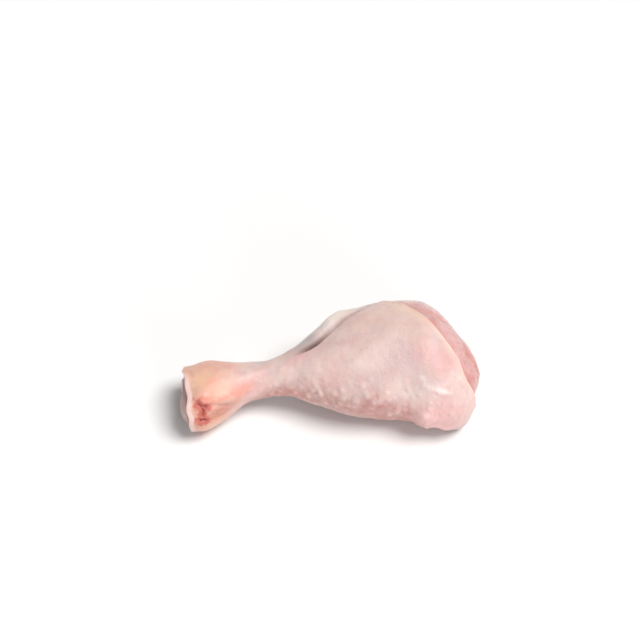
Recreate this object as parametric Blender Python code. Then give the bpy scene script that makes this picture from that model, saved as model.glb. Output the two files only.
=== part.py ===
"""A raw chicken drumstick lying on its side: skin, flesh and the leg bone that runs through it.

Metres, +Z up. The ankle is at -X and the knee at +X. The leg rests on its flattened underside, broad
under the belly and small under the ankle knob. The body is a loft along X. An angle of 0 degrees
around it points to +Y, the back, 90 degrees points up and 180 degrees points to -Y, the front.
"""

import math

import bmesh
import bpy
import numpy as np

# The body's sections, from the ankle's cut to the start of the knee's dome.
# x, centre y, centre z, and the reach from the centre to the back, front, top and bottom.
SECTIONS = {
    "ankle cut": (-0.0665, -0.0100, 0.0130, 0.0126, 0.0130, 0.0102, 0.0122),
    "ankle's shoulder": (-0.0610, -0.0099, 0.0131, 0.0146, 0.0149, 0.0121, 0.0137),
    "ankle knob": (-0.0555, -0.0094, 0.0132, 0.0161, 0.0161, 0.0134, 0.0148),
    "knob's taper": (-0.0460, -0.0067, 0.0136, 0.0130, 0.0130, 0.0121, 0.0124),
    "lower neck": (-0.0370, -0.0038, 0.0146, 0.0092, 0.0092, 0.0093, 0.0092),
    "neck": (-0.0270, -0.0020, 0.0156, 0.0084, 0.0078, 0.0084, 0.0084),
    "calf's start": (-0.0170, 0.0000, 0.0174, 0.0104, 0.0106, 0.0106, 0.0106),
    "calf": (-0.0060, 0.0008, 0.0196, 0.0163, 0.0150, 0.0169, 0.0186),
    "upper calf": (0.0060, 0.0014, 0.0214, 0.0220, 0.0204, 0.0200, 0.0244),
    "belly": (0.0200, 0.0027, 0.0222, 0.0274, 0.0238, 0.0222, 0.0284),
    "widest": (0.0340, 0.0030, 0.0223, 0.0296, 0.0248, 0.0234, 0.0292),
}

# The knee's dome starts at its own section and closes at its tip. Each reach shrinks towards the
# tip as (1 - sin(a)**fullness)**(1/bluntness), so the back slants and the front keeps a corner.
DOME_START = (0.0420, 0.0020, 0.0220, 0.0294, 0.0264, 0.0232, 0.0286)
DOME_TIP = (0.0672, -0.0016, 0.0188)
DOME_FORM = {"back": (1.40, 1.20), "front": (3.75, 1.2), "top": (1.9, 1.15), "bottom": (3.8, 1.2)}
DOME_STEPS = 7

# The soft rest on the floor: surface lower than FLOOR_BLEND eases into a flat spot at z = 0, and
# relief fades out below RELIEF_HEIGHT.
FLOOR_BLEND = 0.0010
RELIEF_HEIGHT = 0.0040

# The middle of the leg's box, which becomes the part's origin.
BOX_MIDDLE = (0.0002, 0.0029, 0.0)

# Skin: its thickness, and where its cut rims lie. The ankle's cut slants, furthest out at one angle.
# At the knee the rim is given by the angle in degrees around the leg, and x.
SKIN_THICKNESS = 0.0013
RIM_THICKNESS = 0.0009
RIM_TAPER_LENGTH = 0.006
RIM_WAVE = 0.00035
ANKLE_EDGE_X = -0.0630
ANKLE_SLANT = 0.0018
ANKLE_SLANT_ANGLE = 10
ANKLE_WAVE = 0.0003
KNEE_RIM = ((0, 0.0225), (40, 0.0255), (52, 0.0297), (69, 0.0374), (83, 0.0442), (98, 0.0512),
            (110, 0.0556), (123, 0.0582), (150, 0.0616), (190, 0.0634), (225, 0.0624), (270, 0.0585),
            (305, 0.0480), (335, 0.0320))
SKIN_GAP = 0.0006
BONE_GAP = 0.0003
BED_RUN_OUT = 0.004

# The slack fold on the upper back of the calf: the crease's angle at each x, and the depth and width
# of the crease, which is full in one place and shallower past its reach. Then the height at each x of
# the roll of skin beside it.
FOLD_CREASE = ((-0.0240, 84), (-0.0130, 86), (-0.0065, 85), (0.0000, 73), (0.0060, 59), (0.0120, 49),
               (0.0190, 44), (0.0270, 41), (0.0400, 40))
FOLD_FROM_X = -0.0205
FOLD_TO_X = 0.0205
FOLD_END_SHARE = 0.50
CREASE_DEPTH = 0.0026
CREASE_WIDTH = 0.0011
CREASE_FULL = (-0.0075, 0.0070)
CREASE_END_SHARE = 0.20
CREASE_BED_WIDTH = 0.0080
ROLL_HEIGHTS = ((-0.0205, 0.0), (-0.0130, 0.0012), (-0.0085, 0.0019), (-0.0042, 0.0026), (0.0000, 0.0038),
                (0.0045, 0.0037), (0.0090, 0.0021), (0.0150, 0.0006), (0.0205, 0.0))
ROLL_WIDTH = 0.0035
ROLL_OFFSET = 0.0048

# The mesh's lines run along the leg and bend to follow the crease, gathered towards it. One starts at
# the crease's own angle in the lower part of the fold, and the bend fades out further around.
CREASE_HOME = 86
CREASE_CROWDING = 0.5
CROWDING_REACH = 40
BEND_REACH = 60
BEND_ROUNDS = 9

# The skin's other relief. A patch is its middle x and reach along, its middle angle and reach around.
WRINKLE_HEIGHT = 0.00050
WRINKLE_SPACING = 0.0082
WRINKLE_SLANT = -52
WRINKLE_PATCH = (-0.0050, 0.0105, 184, 19)
HEM_HEIGHT = 0.0011
HEM_LUMP = 0.0007
HEM_SPACING = 0.0088
HEM_PATCH = (0.0440, 0.0130, 203, 16)
CORNER_HEIGHT = 0.0024
CORNER_PATCH = (0.0560, 0.0055, 213, 22)

# The ankle knob: a torn hollow low on it, a ridge of skin and the slack skin below the ridge.
# The ridge is a line of places, each an x and an angle.
HOLLOW_DEPTH = 0.0009
HOLLOW_PATCH = (-0.0558, 0.0030, 147, 14)
KNOB_RIDGE = ((-0.0570, 119), (-0.0530, 127), (-0.0470, 138), (-0.0410, 158))
KNOB_RIDGE_HEIGHT = 0.0009
KNOB_RIDGE_WIDTH = 0.0026
KNOB_SLACK = (-0.0505, 0.0075, 163, 14)
KNOB_SLACK_DEPTH = 0.0008
KNOB_BED = (-0.0540, 0.0110, 148, 40)
KNOB_BED_DEPTH = 0.0016
UNEVENNESS = 0.0003
UNEVENNESS_ALONG = 0.024

# Flesh: how far below the skin's outside it lies past the rim. Each muscle swells around a middle, x, y
# and z, with a groove between it and the next.
BARE_FLESH_DEPTH = 0.0011
RISE_LENGTH = 0.004
GROOVE_RISE_LENGTH = 0.003
MUSCLES = ((0.050, -0.017, 0.012), (0.056, -0.010, 0.026), (0.050, 0.002, 0.038), (0.046, 0.020, 0.031),
           (0.048, 0.022, 0.013), (0.060, 0.004, 0.024), (0.058, -0.001, 0.006))
MUSCLE_SLENDERNESS = 0.45
GROOVE_FROM_RADIUS = 0.012
GROOVE_DEPTH = 0.0006
GROOVE_WIDTH = 0.0020
MUSCLE_SWELL = 0.0004
MUSCLE_SWELL_WIDTH = 0.006
TIP_PATCH = (0.0650, 0.0045, 118, 38)
TIP_HEIGHT = 0.0012
TIP_FAN = 0.0016
FLESH_START_X = -0.0605
JOINT_HOLLOW_DEPTH = 0.0024
JOINT_HOLLOW_WIDTH = 0.0130
COLLAR_HEIGHT = 0.0012
COLLAR_RADIUS = 0.0135
COLLAR_WIDTH = 0.0020

# Bone: the shaft with its two cartilage ends. x, y, z, half width in Y, half height in Z.
BONE_SECTIONS = {
    "ankle face": (-0.0646, -0.0106, 0.0128, 0.0098, 0.0082),
    "ankle knuckle": (-0.0622, -0.0106, 0.0129, 0.0120, 0.0100),
    "knuckle's back": (-0.0565, -0.0094, 0.0132, 0.0104, 0.0090),
    "lower shaft": (-0.0460, -0.0067, 0.0138, 0.0060, 0.0056),
    "shaft at the neck": (-0.0300, -0.0025, 0.0154, 0.0042, 0.0042),
    "middle of the shaft": (0.0050, 0.0016, 0.0190, 0.0042, 0.0042),
    "upper shaft": (0.0300, 0.0030, 0.0200, 0.0052, 0.0055),
    "knee flare": (0.0440, 0.0050, 0.0176, 0.0088, 0.0088),
    "knee knuckle": (0.0530, 0.0066, 0.0156, 0.0130, 0.0110),
    "knee's shoulder": (0.0590, 0.0070, 0.0148, 0.0116, 0.0098),
    "knee face": (0.0618, 0.0072, 0.0145, 0.0084, 0.0070),
}
KNEE_JOINT = BONE_SECTIONS["knee face"][:3]
KNEE_FACE_CROWN = 0.0012
ANKLE_FACE_CROWN = 0.0010
CONDYLE_NOTCH = 0.16
CONDYLE_NOTCH_WIDTH = 0.45
SHAFT_WIDTH = 0.0052

# Mesh fineness: faces around and along each piece.
SKIN_AROUND = 56
SKIN_ALONG = 57
LINING_ALONG = 26
FLESH_AROUND = 40
FLESH_ALONG = 32
END_CROWDING = 0.6
BONE_AROUND = 20
BONE_ALONG = 24

REACHES = ("back", "front", "top", "bottom")


def curve_through(knots, values, at):
    """A smooth curve through the values at the knots, read at any places."""
    knots = np.asarray(knots, float)
    values = np.asarray(values, float)
    at = np.clip(at, knots[0], knots[-1])
    slopes = np.gradient(values, knots)
    left = np.clip(np.searchsorted(knots, at, side="right") - 1, 0, len(knots) - 2)
    width = knots[left + 1] - knots[left]
    t = (at - knots[left]) / width
    start = (1 + 2 * t) * (1 - t) ** 2 * values[left] + t * (1 - t) ** 2 * width * slopes[left]
    end = t * t * (3 - 2 * t) * values[left + 1] + t * t * (t - 1) * width * slopes[left + 1]
    return start + end


def closed_curve_through(angles, values, at):
    """The same around the leg, with angles in degrees that repeat after a full turn."""
    knots = [a - 360 for a in angles] + list(angles) + [a + 360 for a in angles]
    return curve_through(knots, list(values) * 3, np.mod(at, 360))


def smooth_step(t):
    t = np.clip(t, 0, 1)
    return t * t * (3 - 2 * t)


def bump(distance, width):
    return np.exp(-((distance / width) ** 2))


def turn_from(angle, start):
    """The turn in degrees from one angle to another, the short way round."""
    return np.mod(angle - start + 180, 360) - 180


def in_patch(x, degrees, patch):
    """1 in the middle of a patch of skin, easing to 0 around it."""
    middle_x, reach_x, middle_angle, reach_angle = patch
    return bump(x - middle_x, reach_x) * bump(turn_from(degrees, middle_angle), reach_angle)


def from_stroke(x, degrees, stroke):
    """Distance from a line drawn over the leg from place to place."""
    radius = (body_column(4, length_at_x(x)) + body_column(5, length_at_x(x))) / 2
    nearest = np.full(np.shape(x), np.inf)
    for (x_from, angle_from), (x_to, angle_to) in zip(stroke, stroke[1:]):
        step_x = x_to - x_from
        step_around = np.radians(angle_to - angle_from) * radius
        off_x = x - x_from
        off_around = np.radians(turn_from(degrees, angle_from)) * radius
        part = (off_x * step_x + off_around * step_around) / (step_x ** 2 + step_around ** 2)
        part = np.clip(part, 0, 1)
        nearest = np.minimum(nearest, np.hypot(off_x - part * step_x, off_around - part * step_around))
    return nearest


def along_stroke(x, degrees, stroke, width):
    """1 on a line drawn over the leg from place to place, easing to 0 beside it."""
    return bump(from_stroke(x, degrees, stroke), width)


def dome_sections():
    """The sections that close the knee end, from the dome's start to its tip."""
    rows = []
    for i in range(DOME_STEPS + 1):
        angle = math.pi / 2 * i / DOME_STEPS
        along = math.sin(angle)
        place = [a + (b - a) * along for a, b in zip(DOME_START[:3], DOME_TIP)]
        reach = []
        for size, name in zip(DOME_START[3:], REACHES):
            fullness, bluntness = DOME_FORM[name]
            reach.append(size * max(0.0, 1 - along ** fullness) ** (1 / bluntness))
        rows.append(tuple(place + reach))
    return rows


def chord_lengths(rows, reach_column):
    """The length along the outline from the first section to each one."""
    lengths = [0.0]
    for a, b in zip(rows, rows[1:]):
        lengths.append(lengths[-1] + math.hypot(b[0] - a[0], b[reach_column] - a[reach_column]))
    return lengths


BODY_ROWS = list(SECTIONS.values()) + dome_sections()
BODY_LENGTHS = chord_lengths(BODY_ROWS, 4)
BODY_END = BODY_LENGTHS[-1]


def body_column(column, length):
    return curve_through(BODY_LENGTHS, [row[column] for row in BODY_ROWS], length)


def length_at_x(x):
    """The length along the outline at which the sections reach x."""
    lengths = np.linspace(0, BODY_END, 2000)
    return np.interp(x, body_column(0, lengths), lengths)


def rest_on_floor(z):
    """Ease whatever is below the floor into a flat spot at z = 0."""
    eased = (np.clip(z, -FLOOR_BLEND, FLOOR_BLEND) + FLOOR_BLEND) ** 2 / (4 * FLOOR_BLEND)
    return np.where(z > FLOOR_BLEND, z, eased)


def body_points(length, degrees):
    """Points on the leg's plain outside, with no relief on it."""
    angle = np.radians(degrees)
    across = np.cos(angle)
    up = np.sin(angle)
    side = np.where(across > 0, body_column(3, length), body_column(4, length))
    height = np.where(up > 0, body_column(5, length), body_column(6, length))
    x = body_column(0, length)
    y = body_column(1, length) + side * across
    z = rest_on_floor(body_column(2, length) + height * up)
    return np.stack([x, y, z], axis=-1)


def body_normals(length, degrees):
    """Outward unit normals of the plain outside, from short steps along and around it."""
    step = 0.0004
    turn = 1.0
    length = np.clip(length, step, BODY_END - 3 * step)
    along = body_points(length + step, degrees) - body_points(length - step, degrees)
    around = body_points(length, degrees + turn) - body_points(length, degrees - turn)
    normal = np.cross(around, along)
    return normal / np.linalg.norm(normal, axis=-1, keepdims=True)


RIM_ANGLES = [angle for angle, _ in KNEE_RIM]
RIM_LENGTHS = list(length_at_x([x for _, x in KNEE_RIM]))


def knee_rim(degrees):
    """The length at which the skin's cut rim lies, with the small waves of a torn edge."""
    waves = np.sin(np.radians(5 * degrees + 40)) + 0.7 * np.sin(np.radians(11 * degrees))
    return closed_curve_through(RIM_ANGLES, RIM_LENGTHS, degrees) + RIM_WAVE * waves


def ankle_edge(degrees):
    """The length at which the skin was cut at the ankle."""
    slant = ANKLE_SLANT * np.cos(np.radians(degrees - ANKLE_SLANT_ANGLE))
    waves = ANKLE_WAVE * (np.sin(np.radians(4 * degrees)) + np.sin(np.radians(9 * degrees + 60)))
    return length_at_x(ANKLE_EDGE_X - slant + waves)


def crease_angle(x):
    """The angle around the leg at which the fold's crease lies."""
    return curve_through([row[0] for row in FOLD_CREASE], [row[1] for row in FOLD_CREASE], x)


def follow_crease(length, degrees):
    """Bend the lines that run along the leg, so that one lies on the crease and its neighbours close in."""
    offset = turn_from(degrees, CREASE_HOME)
    gathered = offset * (1 - CREASE_CROWDING * bump(offset, CROWDING_REACH))
    bend = (crease_angle(body_column(0, length)) - CREASE_HOME) * bump(offset, BEND_REACH)
    return CREASE_HOME + gathered + bend


def fold_window(x):
    """1 along the fold, easing to 0 at its two ends."""
    middle = (FOLD_FROM_X + FOLD_TO_X) / 2
    half = (FOLD_TO_X - FOLD_FROM_X) / 2
    return smooth_step((1 - np.abs(x - middle) / half) / FOLD_END_SHARE)


def roll_height(x):
    """How high the fold's roll of skin stands at each x."""
    return curve_through([row[0] for row in ROLL_HEIGHTS], [row[1] for row in ROLL_HEIGHTS], x)


def crease_depth(x):
    """How deep the crease is, most in the lower part of the fold."""
    middle, reach = CREASE_FULL
    share = CREASE_END_SHARE + (1 - CREASE_END_SHARE) * bump(x - middle, reach)
    return CREASE_DEPTH * share * fold_window(x)


def across_crease(length, degrees):
    """Distance from the crease around the leg, positive towards the back."""
    x = body_column(0, length)
    radius = (body_column(3, length) + body_column(5, length)) / 2
    return np.radians(turn_from(crease_angle(x), degrees)) * radius


def skin_relief(length, degrees):
    """How far the skin stands off the plain outside."""
    x = body_column(0, length)
    across = across_crease(length, degrees)
    relief = roll_height(x) * bump(across - ROLL_OFFSET, ROLL_WIDTH)
    relief = relief - crease_depth(x) * bump(across, CREASE_WIDTH)

    # wrinkles where the skin gathers at the front of the neck, running down towards the knee
    wrinkle = np.sin(2 * math.pi * (x / WRINKLE_SPACING + degrees / WRINKLE_SLANT))
    relief = relief + WRINKLE_HEIGHT * in_patch(x, degrees, WRINKLE_PATCH) * wrinkle

    # a lumpy hem low on the front, and the slack corner of skin at the knee
    lump = HEM_HEIGHT + HEM_LUMP * np.sin(2 * math.pi * x / HEM_SPACING)
    relief = relief + lump * in_patch(x, degrees, HEM_PATCH)
    relief = relief + CORNER_HEIGHT * in_patch(x, degrees, CORNER_PATCH)

    # the slow unevenness of soft skin over muscle
    along = 2 * math.pi * x / UNEVENNESS_ALONG
    around = np.radians(degrees)
    relief = relief + UNEVENNESS * np.sin(along + 2 * around) * np.sin(3 * around + along / 3)

    # the ankle knob
    relief = relief + KNOB_RIDGE_HEIGHT * along_stroke(x, degrees, KNOB_RIDGE, KNOB_RIDGE_WIDTH)
    relief = relief - KNOB_SLACK_DEPTH * in_patch(x, degrees, KNOB_SLACK)
    return relief - HOLLOW_DEPTH * in_patch(x, degrees, HOLLOW_PATCH)


def skin_depth(length, degrees):
    """How far the skin's inner side lies below the plain outside."""
    rim = knee_rim(degrees)
    taper = smooth_step((rim - length) / RIM_TAPER_LENGTH)
    depth = RIM_THICKNESS + (SKIN_THICKNESS - RIM_THICKNESS) * taper
    x = body_column(0, length)
    under_crease = bump(across_crease(length, degrees), CREASE_BED_WIDTH)
    depth = depth + crease_depth(x) * under_crease
    return depth + KNOB_BED_DEPTH * in_patch(x, degrees, KNOB_BED)


def flesh_depth(length, degrees):
    """How far the flesh lies below the plain outside, under the skin and past its rim."""
    rim = knee_rim(degrees)
    bare = smooth_step((length - rim - SKIN_GAP) / RISE_LENGTH)
    covered_depth = skin_depth(length, degrees) + SKIN_GAP
    depth = covered_depth + (BARE_FLESH_DEPTH - covered_depth) * bare
    past_rim = smooth_step((length - rim) / GROOVE_RISE_LENGTH)
    past_rim = past_rim * smooth_step(body_column(3, length) / GROOVE_FROM_RADIUS)
    points = body_points(length, degrees)
    from_edge = between_muscles(points)
    depth = depth + past_rim * GROOVE_DEPTH * bump(from_edge, GROOVE_WIDTH)
    depth = depth - past_rim * MUSCLE_SWELL * smooth_step(from_edge / MUSCLE_SWELL_WIDTH)
    depth = depth - past_rim * TIP_HEIGHT * in_patch(body_column(0, length), degrees, TIP_PATCH)
    from_joint = np.linalg.norm(points - KNEE_JOINT, axis=-1)
    depth = depth + past_rim * JOINT_HOLLOW_DEPTH * bump(from_joint, JOINT_HOLLOW_WIDTH)
    return depth - past_rim * COLLAR_HEIGHT * bump(from_joint - COLLAR_RADIUS, COLLAR_WIDTH)


def between_muscles(points):
    """How far a point lies from the groove between the two nearest muscles."""
    slender = np.array((MUSCLE_SLENDERNESS, 1, 1))
    far = [np.linalg.norm((points - muscle) * slender, axis=-1) for muscle in MUSCLES]
    far = np.sort(far, axis=0)
    return far[1] - far[0]


def grid_points(rows, columns, place, crowding=0.0):
    """Rings of points: row by row from one end to the other, closer at the ends by the crowding.

    The columns around start where the fold's crease lies, so that one of them follows it.
    """
    steps = np.linspace(0, 1, rows)
    steps = steps - crowding * np.sin(2 * math.pi * steps) / (2 * math.pi)
    turn = CREASE_HOME + 360 * np.arange(columns) / columns
    return place(*np.meshgrid(steps, turn, indexing="ij"))


def add_ring_faces(mesh, rings, outward=True):
    """Join each ring of vertices to the next with quads."""
    for ring, following in zip(rings, rings[1:]):
        count = len(ring)
        for i in range(count):
            j = (i + 1) % count
            corners = (ring[i], following[i], following[j], ring[j])
            mesh.faces.new(corners if outward else corners[::-1])


def add_vertices(mesh, points):
    return [[mesh.verts.new(tuple(point)) for point in ring] for ring in points]


def finish_object(name, mesh, material, collection):
    """Turn the working mesh into a named object with outward faces and one material."""
    bmesh.ops.recalc_face_normals(mesh, faces=mesh.faces)
    data = bpy.data.meshes.new(name)
    mesh.to_mesh(data)
    mesh.free()
    data.shade_smooth()
    data.materials.append(material)
    piece = bpy.data.objects.new(name, data)
    collection.objects.link(piece)
    return piece


def make_material(name, colour, roughness, subsurface):
    material = bpy.data.materials.new(name)
    material.use_nodes = True
    shader = material.node_tree.nodes["Principled BSDF"]
    shader.inputs["Base Color"].default_value = (*colour, 1)
    shader.inputs["Roughness"].default_value = roughness
    shader.inputs["Metallic"].default_value = 0.0
    shader.inputs["Subsurface Weight"].default_value = subsurface
    material.diffuse_color = (*colour, 1)
    return material


def make_skin(collection, material):
    """The skin: a sleeve open at the ankle and at the knee, with its relief on the outside."""

    def place(share, degrees):
        bent = degrees
        for _ in range(BEND_ROUNDS):
            first = ankle_edge(bent)
            length = first + share * (knee_rim(bent) - first)
            bent = follow_crease(length, degrees)
        return length, bent

    def outside(share, degrees):
        length, degrees = place(share, degrees)
        points = body_points(length, degrees)
        relief = skin_relief(length, degrees) * smooth_step(points[..., 2] / RELIEF_HEIGHT)
        points = points + body_normals(length, degrees) * relief[..., None]
        points[..., 2] = np.maximum(points[..., 2], 0.0)
        return points

    def lining(share, degrees):
        length, degrees = place(share, degrees)
        depth = skin_depth(length, degrees)
        return body_points(length, degrees) - body_normals(length, degrees) * depth[..., None]

    mesh = bmesh.new()
    outer = add_vertices(mesh, grid_points(SKIN_ALONG + 1, SKIN_AROUND, outside))
    inner = add_vertices(mesh, grid_points(LINING_ALONG + 1, SKIN_AROUND, lining, END_CROWDING))
    add_ring_faces(mesh, outer)
    add_ring_faces(mesh, inner, outward=False)
    add_ring_faces(mesh, [inner[0], outer[0]])
    add_ring_faces(mesh, [outer[-1], inner[-1]])
    return finish_object("skin", mesh, material, collection)


def close_end(mesh, ring, tip):
    """Close a ring with a fan of triangles round one point."""
    centre = mesh.verts.new(tuple(tip))
    for i in range(len(ring)):
        mesh.faces.new((ring[i], ring[(i + 1) % len(ring)], centre))


def make_flesh(collection, material):
    """The flesh: it fills the skin, and stands bare past the skin's rim at the knee."""
    start = length_at_x(FLESH_START_X)
    last = BODY_END - TIP_FAN

    def place(share, degrees):
        length = start + share * (last - start)
        depth = flesh_depth(length, degrees)
        return body_points(length, degrees) - body_normals(length, degrees) * depth[..., None]

    mesh = bmesh.new()
    rings = add_vertices(mesh, grid_points(FLESH_ALONG + 1, FLESH_AROUND, place, END_CROWDING))
    add_ring_faces(mesh, rings)
    close_end(mesh, rings[0], (FLESH_START_X, *SECTIONS["ankle's shoulder"][1:3]))
    close_end(mesh, rings[-1], (DOME_TIP[0] - BARE_FLESH_DEPTH, DOME_TIP[1], DOME_TIP[2]))
    return finish_object("meat", mesh, material, collection)


def make_bone(name, collection, material, grow=0.0, run_out=0.0):
    """The leg bone, or with grow the bed that it needs in the flesh, longer by run_out at the ankle."""
    rows = list(BONE_SECTIONS.values())
    lengths = chord_lengths(rows, 3)

    def place(share, degrees):
        length = share * lengths[-1]
        columns = [curve_through(lengths, [row[i] for row in rows], length) for i in range(5)]
        x, y, z, width, height = columns
        angle = np.radians(degrees)
        knuckle = smooth_step((width - SHAFT_WIDTH) / SHAFT_WIDTH)
        lobes = 1 - CONDYLE_NOTCH * knuckle * bump(np.cos(angle), CONDYLE_NOTCH_WIDTH)
        x = x - run_out * (share == 0) + grow * (share == 1)
        y = y + (width + grow) * np.cos(angle)
        z = z + (height * lobes + grow) * np.sin(angle)
        return np.stack([x, y, z], axis=-1)

    mesh = bmesh.new()
    rings = add_vertices(mesh, grid_points(BONE_ALONG + 1, BONE_AROUND, place))
    add_ring_faces(mesh, rings)
    first, last = rows[0], rows[-1]
    close_end(mesh, rings[0], (first[0] - ANKLE_FACE_CROWN - run_out, first[1], first[2]))
    close_end(mesh, rings[-1], (last[0] + KNEE_FACE_CROWN + grow, last[1], last[2]))
    return finish_object(name, mesh, material, collection)


def cut(piece, cutter):
    """Take the cutter's shape out of the piece."""
    cutter.hide_render = True
    cutter.display_type = "WIRE"
    modifier = piece.modifiers.new("bed for " + cutter.name, "BOOLEAN")
    modifier.operation = "DIFFERENCE"
    modifier.solver = "EXACT"
    modifier.object = cutter


def make_collection(name):
    collection = bpy.data.collections.new(name)
    bpy.context.scene.collection.children.link(collection)
    return collection


def main():
    for item in list(bpy.data.objects):
        bpy.data.objects.remove(item, do_unlink=True)

    parts = make_collection("raw_chicken_drumstick")
    cutters = make_collection("cutters")
    skin_material = make_material("skin", (0.80, 0.56, 0.50), 0.38, 0.2)
    flesh_material = make_material("flesh", (0.74, 0.34, 0.31), 0.30, 0.2)
    bone_material = make_material("bone", (0.86, 0.78, 0.70), 0.35, 0.1)

    middle = bpy.data.objects.new("middle", None)
    middle.location = [-value for value in BOX_MIDDLE]
    parts.objects.link(middle)
    skin = make_skin(parts, skin_material)
    flesh = make_flesh(parts, flesh_material)
    bone = make_bone("bone", parts, bone_material)
    bed = make_bone("bone_bed", cutters, bone_material, grow=BONE_GAP, run_out=BED_RUN_OUT)
    for piece in (skin, flesh, bone, bed):
        piece.parent = middle
    cut(flesh, bed)


main()
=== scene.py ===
"""The looks of a raw chicken drumstick: its moist skin, bare flesh, bone ends and the studio round it.

Metres, +Z up. The leg's own form is worked out along its length and by the angle around it: 0 degrees
points to the back, 90 degrees up and 180 degrees to the front.
"""

import math

import bpy
import numpy as np
from bpy.props import FloatProperty, FloatVectorProperty, PointerProperty
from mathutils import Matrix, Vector
from mathutils.kdtree import KDTree


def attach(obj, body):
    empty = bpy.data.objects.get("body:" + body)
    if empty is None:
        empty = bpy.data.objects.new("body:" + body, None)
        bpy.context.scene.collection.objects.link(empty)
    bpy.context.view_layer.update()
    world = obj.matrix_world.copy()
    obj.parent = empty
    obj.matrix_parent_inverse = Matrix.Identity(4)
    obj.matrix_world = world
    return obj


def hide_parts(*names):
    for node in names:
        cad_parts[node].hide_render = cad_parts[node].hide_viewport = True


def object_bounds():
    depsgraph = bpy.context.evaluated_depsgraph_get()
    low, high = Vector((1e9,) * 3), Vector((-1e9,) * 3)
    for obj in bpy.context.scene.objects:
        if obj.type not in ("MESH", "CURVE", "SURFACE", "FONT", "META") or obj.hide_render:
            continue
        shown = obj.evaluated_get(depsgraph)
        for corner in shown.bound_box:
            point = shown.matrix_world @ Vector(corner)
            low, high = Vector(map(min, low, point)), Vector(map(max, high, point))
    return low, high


bl_info = {
    "name": "Raw Chicken Drumstick",
    "version": (1, 0, 0),
    "blender": (4, 5, 0),
    "location": "3D View > Sidebar > Drumstick",
    "description": "Dresses the drumstick's solids in skin, flesh and bone, and sets the studio round it",
    "category": "Add Mesh",
}

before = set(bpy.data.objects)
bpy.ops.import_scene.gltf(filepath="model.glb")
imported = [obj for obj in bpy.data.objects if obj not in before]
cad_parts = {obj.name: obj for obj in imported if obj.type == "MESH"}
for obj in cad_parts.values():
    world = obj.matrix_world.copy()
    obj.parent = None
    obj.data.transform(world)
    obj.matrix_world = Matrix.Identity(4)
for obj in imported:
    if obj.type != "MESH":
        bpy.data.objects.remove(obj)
SOLID_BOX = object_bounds()

# ---------------------------------------------------------------------------------------------
# The leg's form
# ---------------------------------------------------------------------------------------------

# The body's sections, from the ankle's cut to the start of the knee's dome.
# x, centre y, centre z, and the reach from the centre to the back, front, top and bottom.
SECTIONS = {
    "ankle cut": (-0.0665, -0.0100, 0.0130, 0.0126, 0.0130, 0.0102, 0.0122),
    "ankle's shoulder": (-0.0610, -0.0099, 0.0131, 0.0146, 0.0149, 0.0121, 0.0137),
    "ankle knob": (-0.0555, -0.0094, 0.0132, 0.0161, 0.0161, 0.0134, 0.0148),
    "knob's taper": (-0.0460, -0.0067, 0.0136, 0.0130, 0.0130, 0.0121, 0.0124),
    "lower neck": (-0.0370, -0.0038, 0.0146, 0.0092, 0.0092, 0.0093, 0.0092),
    "neck": (-0.0270, -0.0020, 0.0156, 0.0084, 0.0078, 0.0084, 0.0084),
    "calf's start": (-0.0170, 0.0000, 0.0174, 0.0104, 0.0106, 0.0106, 0.0106),
    "calf": (-0.0060, 0.0008, 0.0196, 0.0163, 0.0150, 0.0169, 0.0186),
    "upper calf": (0.0060, 0.0014, 0.0214, 0.0220, 0.0204, 0.0200, 0.0244),
    "belly": (0.0200, 0.0027, 0.0222, 0.0274, 0.0238, 0.0222, 0.0284),
    "widest": (0.0340, 0.0030, 0.0223, 0.0296, 0.0248, 0.0234, 0.0292),
}

# The knee's dome: its first section, its tip, and how full each side stays towards the tip.
DOME_START = (0.0420, 0.0020, 0.0220, 0.0294, 0.0264, 0.0232, 0.0286)
DOME_TIP = (0.0672, -0.0016, 0.0188)
DOME_FORM = {"back": (1.40, 1.20), "front": (3.75, 1.2), "top": (1.9, 1.15), "bottom": (3.8, 1.2)}
DOME_STEPS = 7
REACHES = ("back", "front", "top", "bottom")

# How softly the belly flattens on the floor, the height below which relief fades out, and the middle of
# the leg's box, which is moved over the scene's own middle.
FLOOR_BLEND = 0.0010
RELIEF_HEIGHT = 0.0040
BOX_MIDDLE = (0.0002, 0.0029, 0.0)

# Skin: its thickness, and where its cut rims lie. The ankle's cut slants, furthest out at one angle.
# At the knee the rim is given by the angle in degrees around the leg, and x. Waves are given by how many go
# round the leg, where they start and how high they are.
SKIN_THICKNESS = 0.0013
RIM_THICKNESS = 0.0009
RIM_TAPER_LENGTH = 0.006
RIM_WAVE = 0.00035
RIM_WAVES = ((5, 40, 1.0), (11, 0, 0.7))
RIM_LIP = 0.00035
RIM_LIP_WIDTH = 0.0012
ANKLE_LIP = 0.0007
ANKLE_LIP_WIDTH = 0.0024
ANKLE_EDGE_X = -0.0630
ANKLE_SLANT = 0.0018
ANKLE_SLANT_ANGLE = 10
ANKLE_WAVE = 0.0003
ANKLE_WAVES = ((4, 0, 1.0), (9, 60, 1.0))
KNEE_RIM = ((0, 0.0225), (40, 0.0255), (52, 0.0297), (69, 0.0374), (83, 0.0442), (98, 0.0512),
            (110, 0.0556), (123, 0.0582), (150, 0.0616), (190, 0.0634), (225, 0.0624), (270, 0.0585),
            (305, 0.0480), (335, 0.0320))
SKIN_GAP = 0.0006
BONE_GAP = 0.0003
BED_RUN_OUT = 0.004

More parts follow.
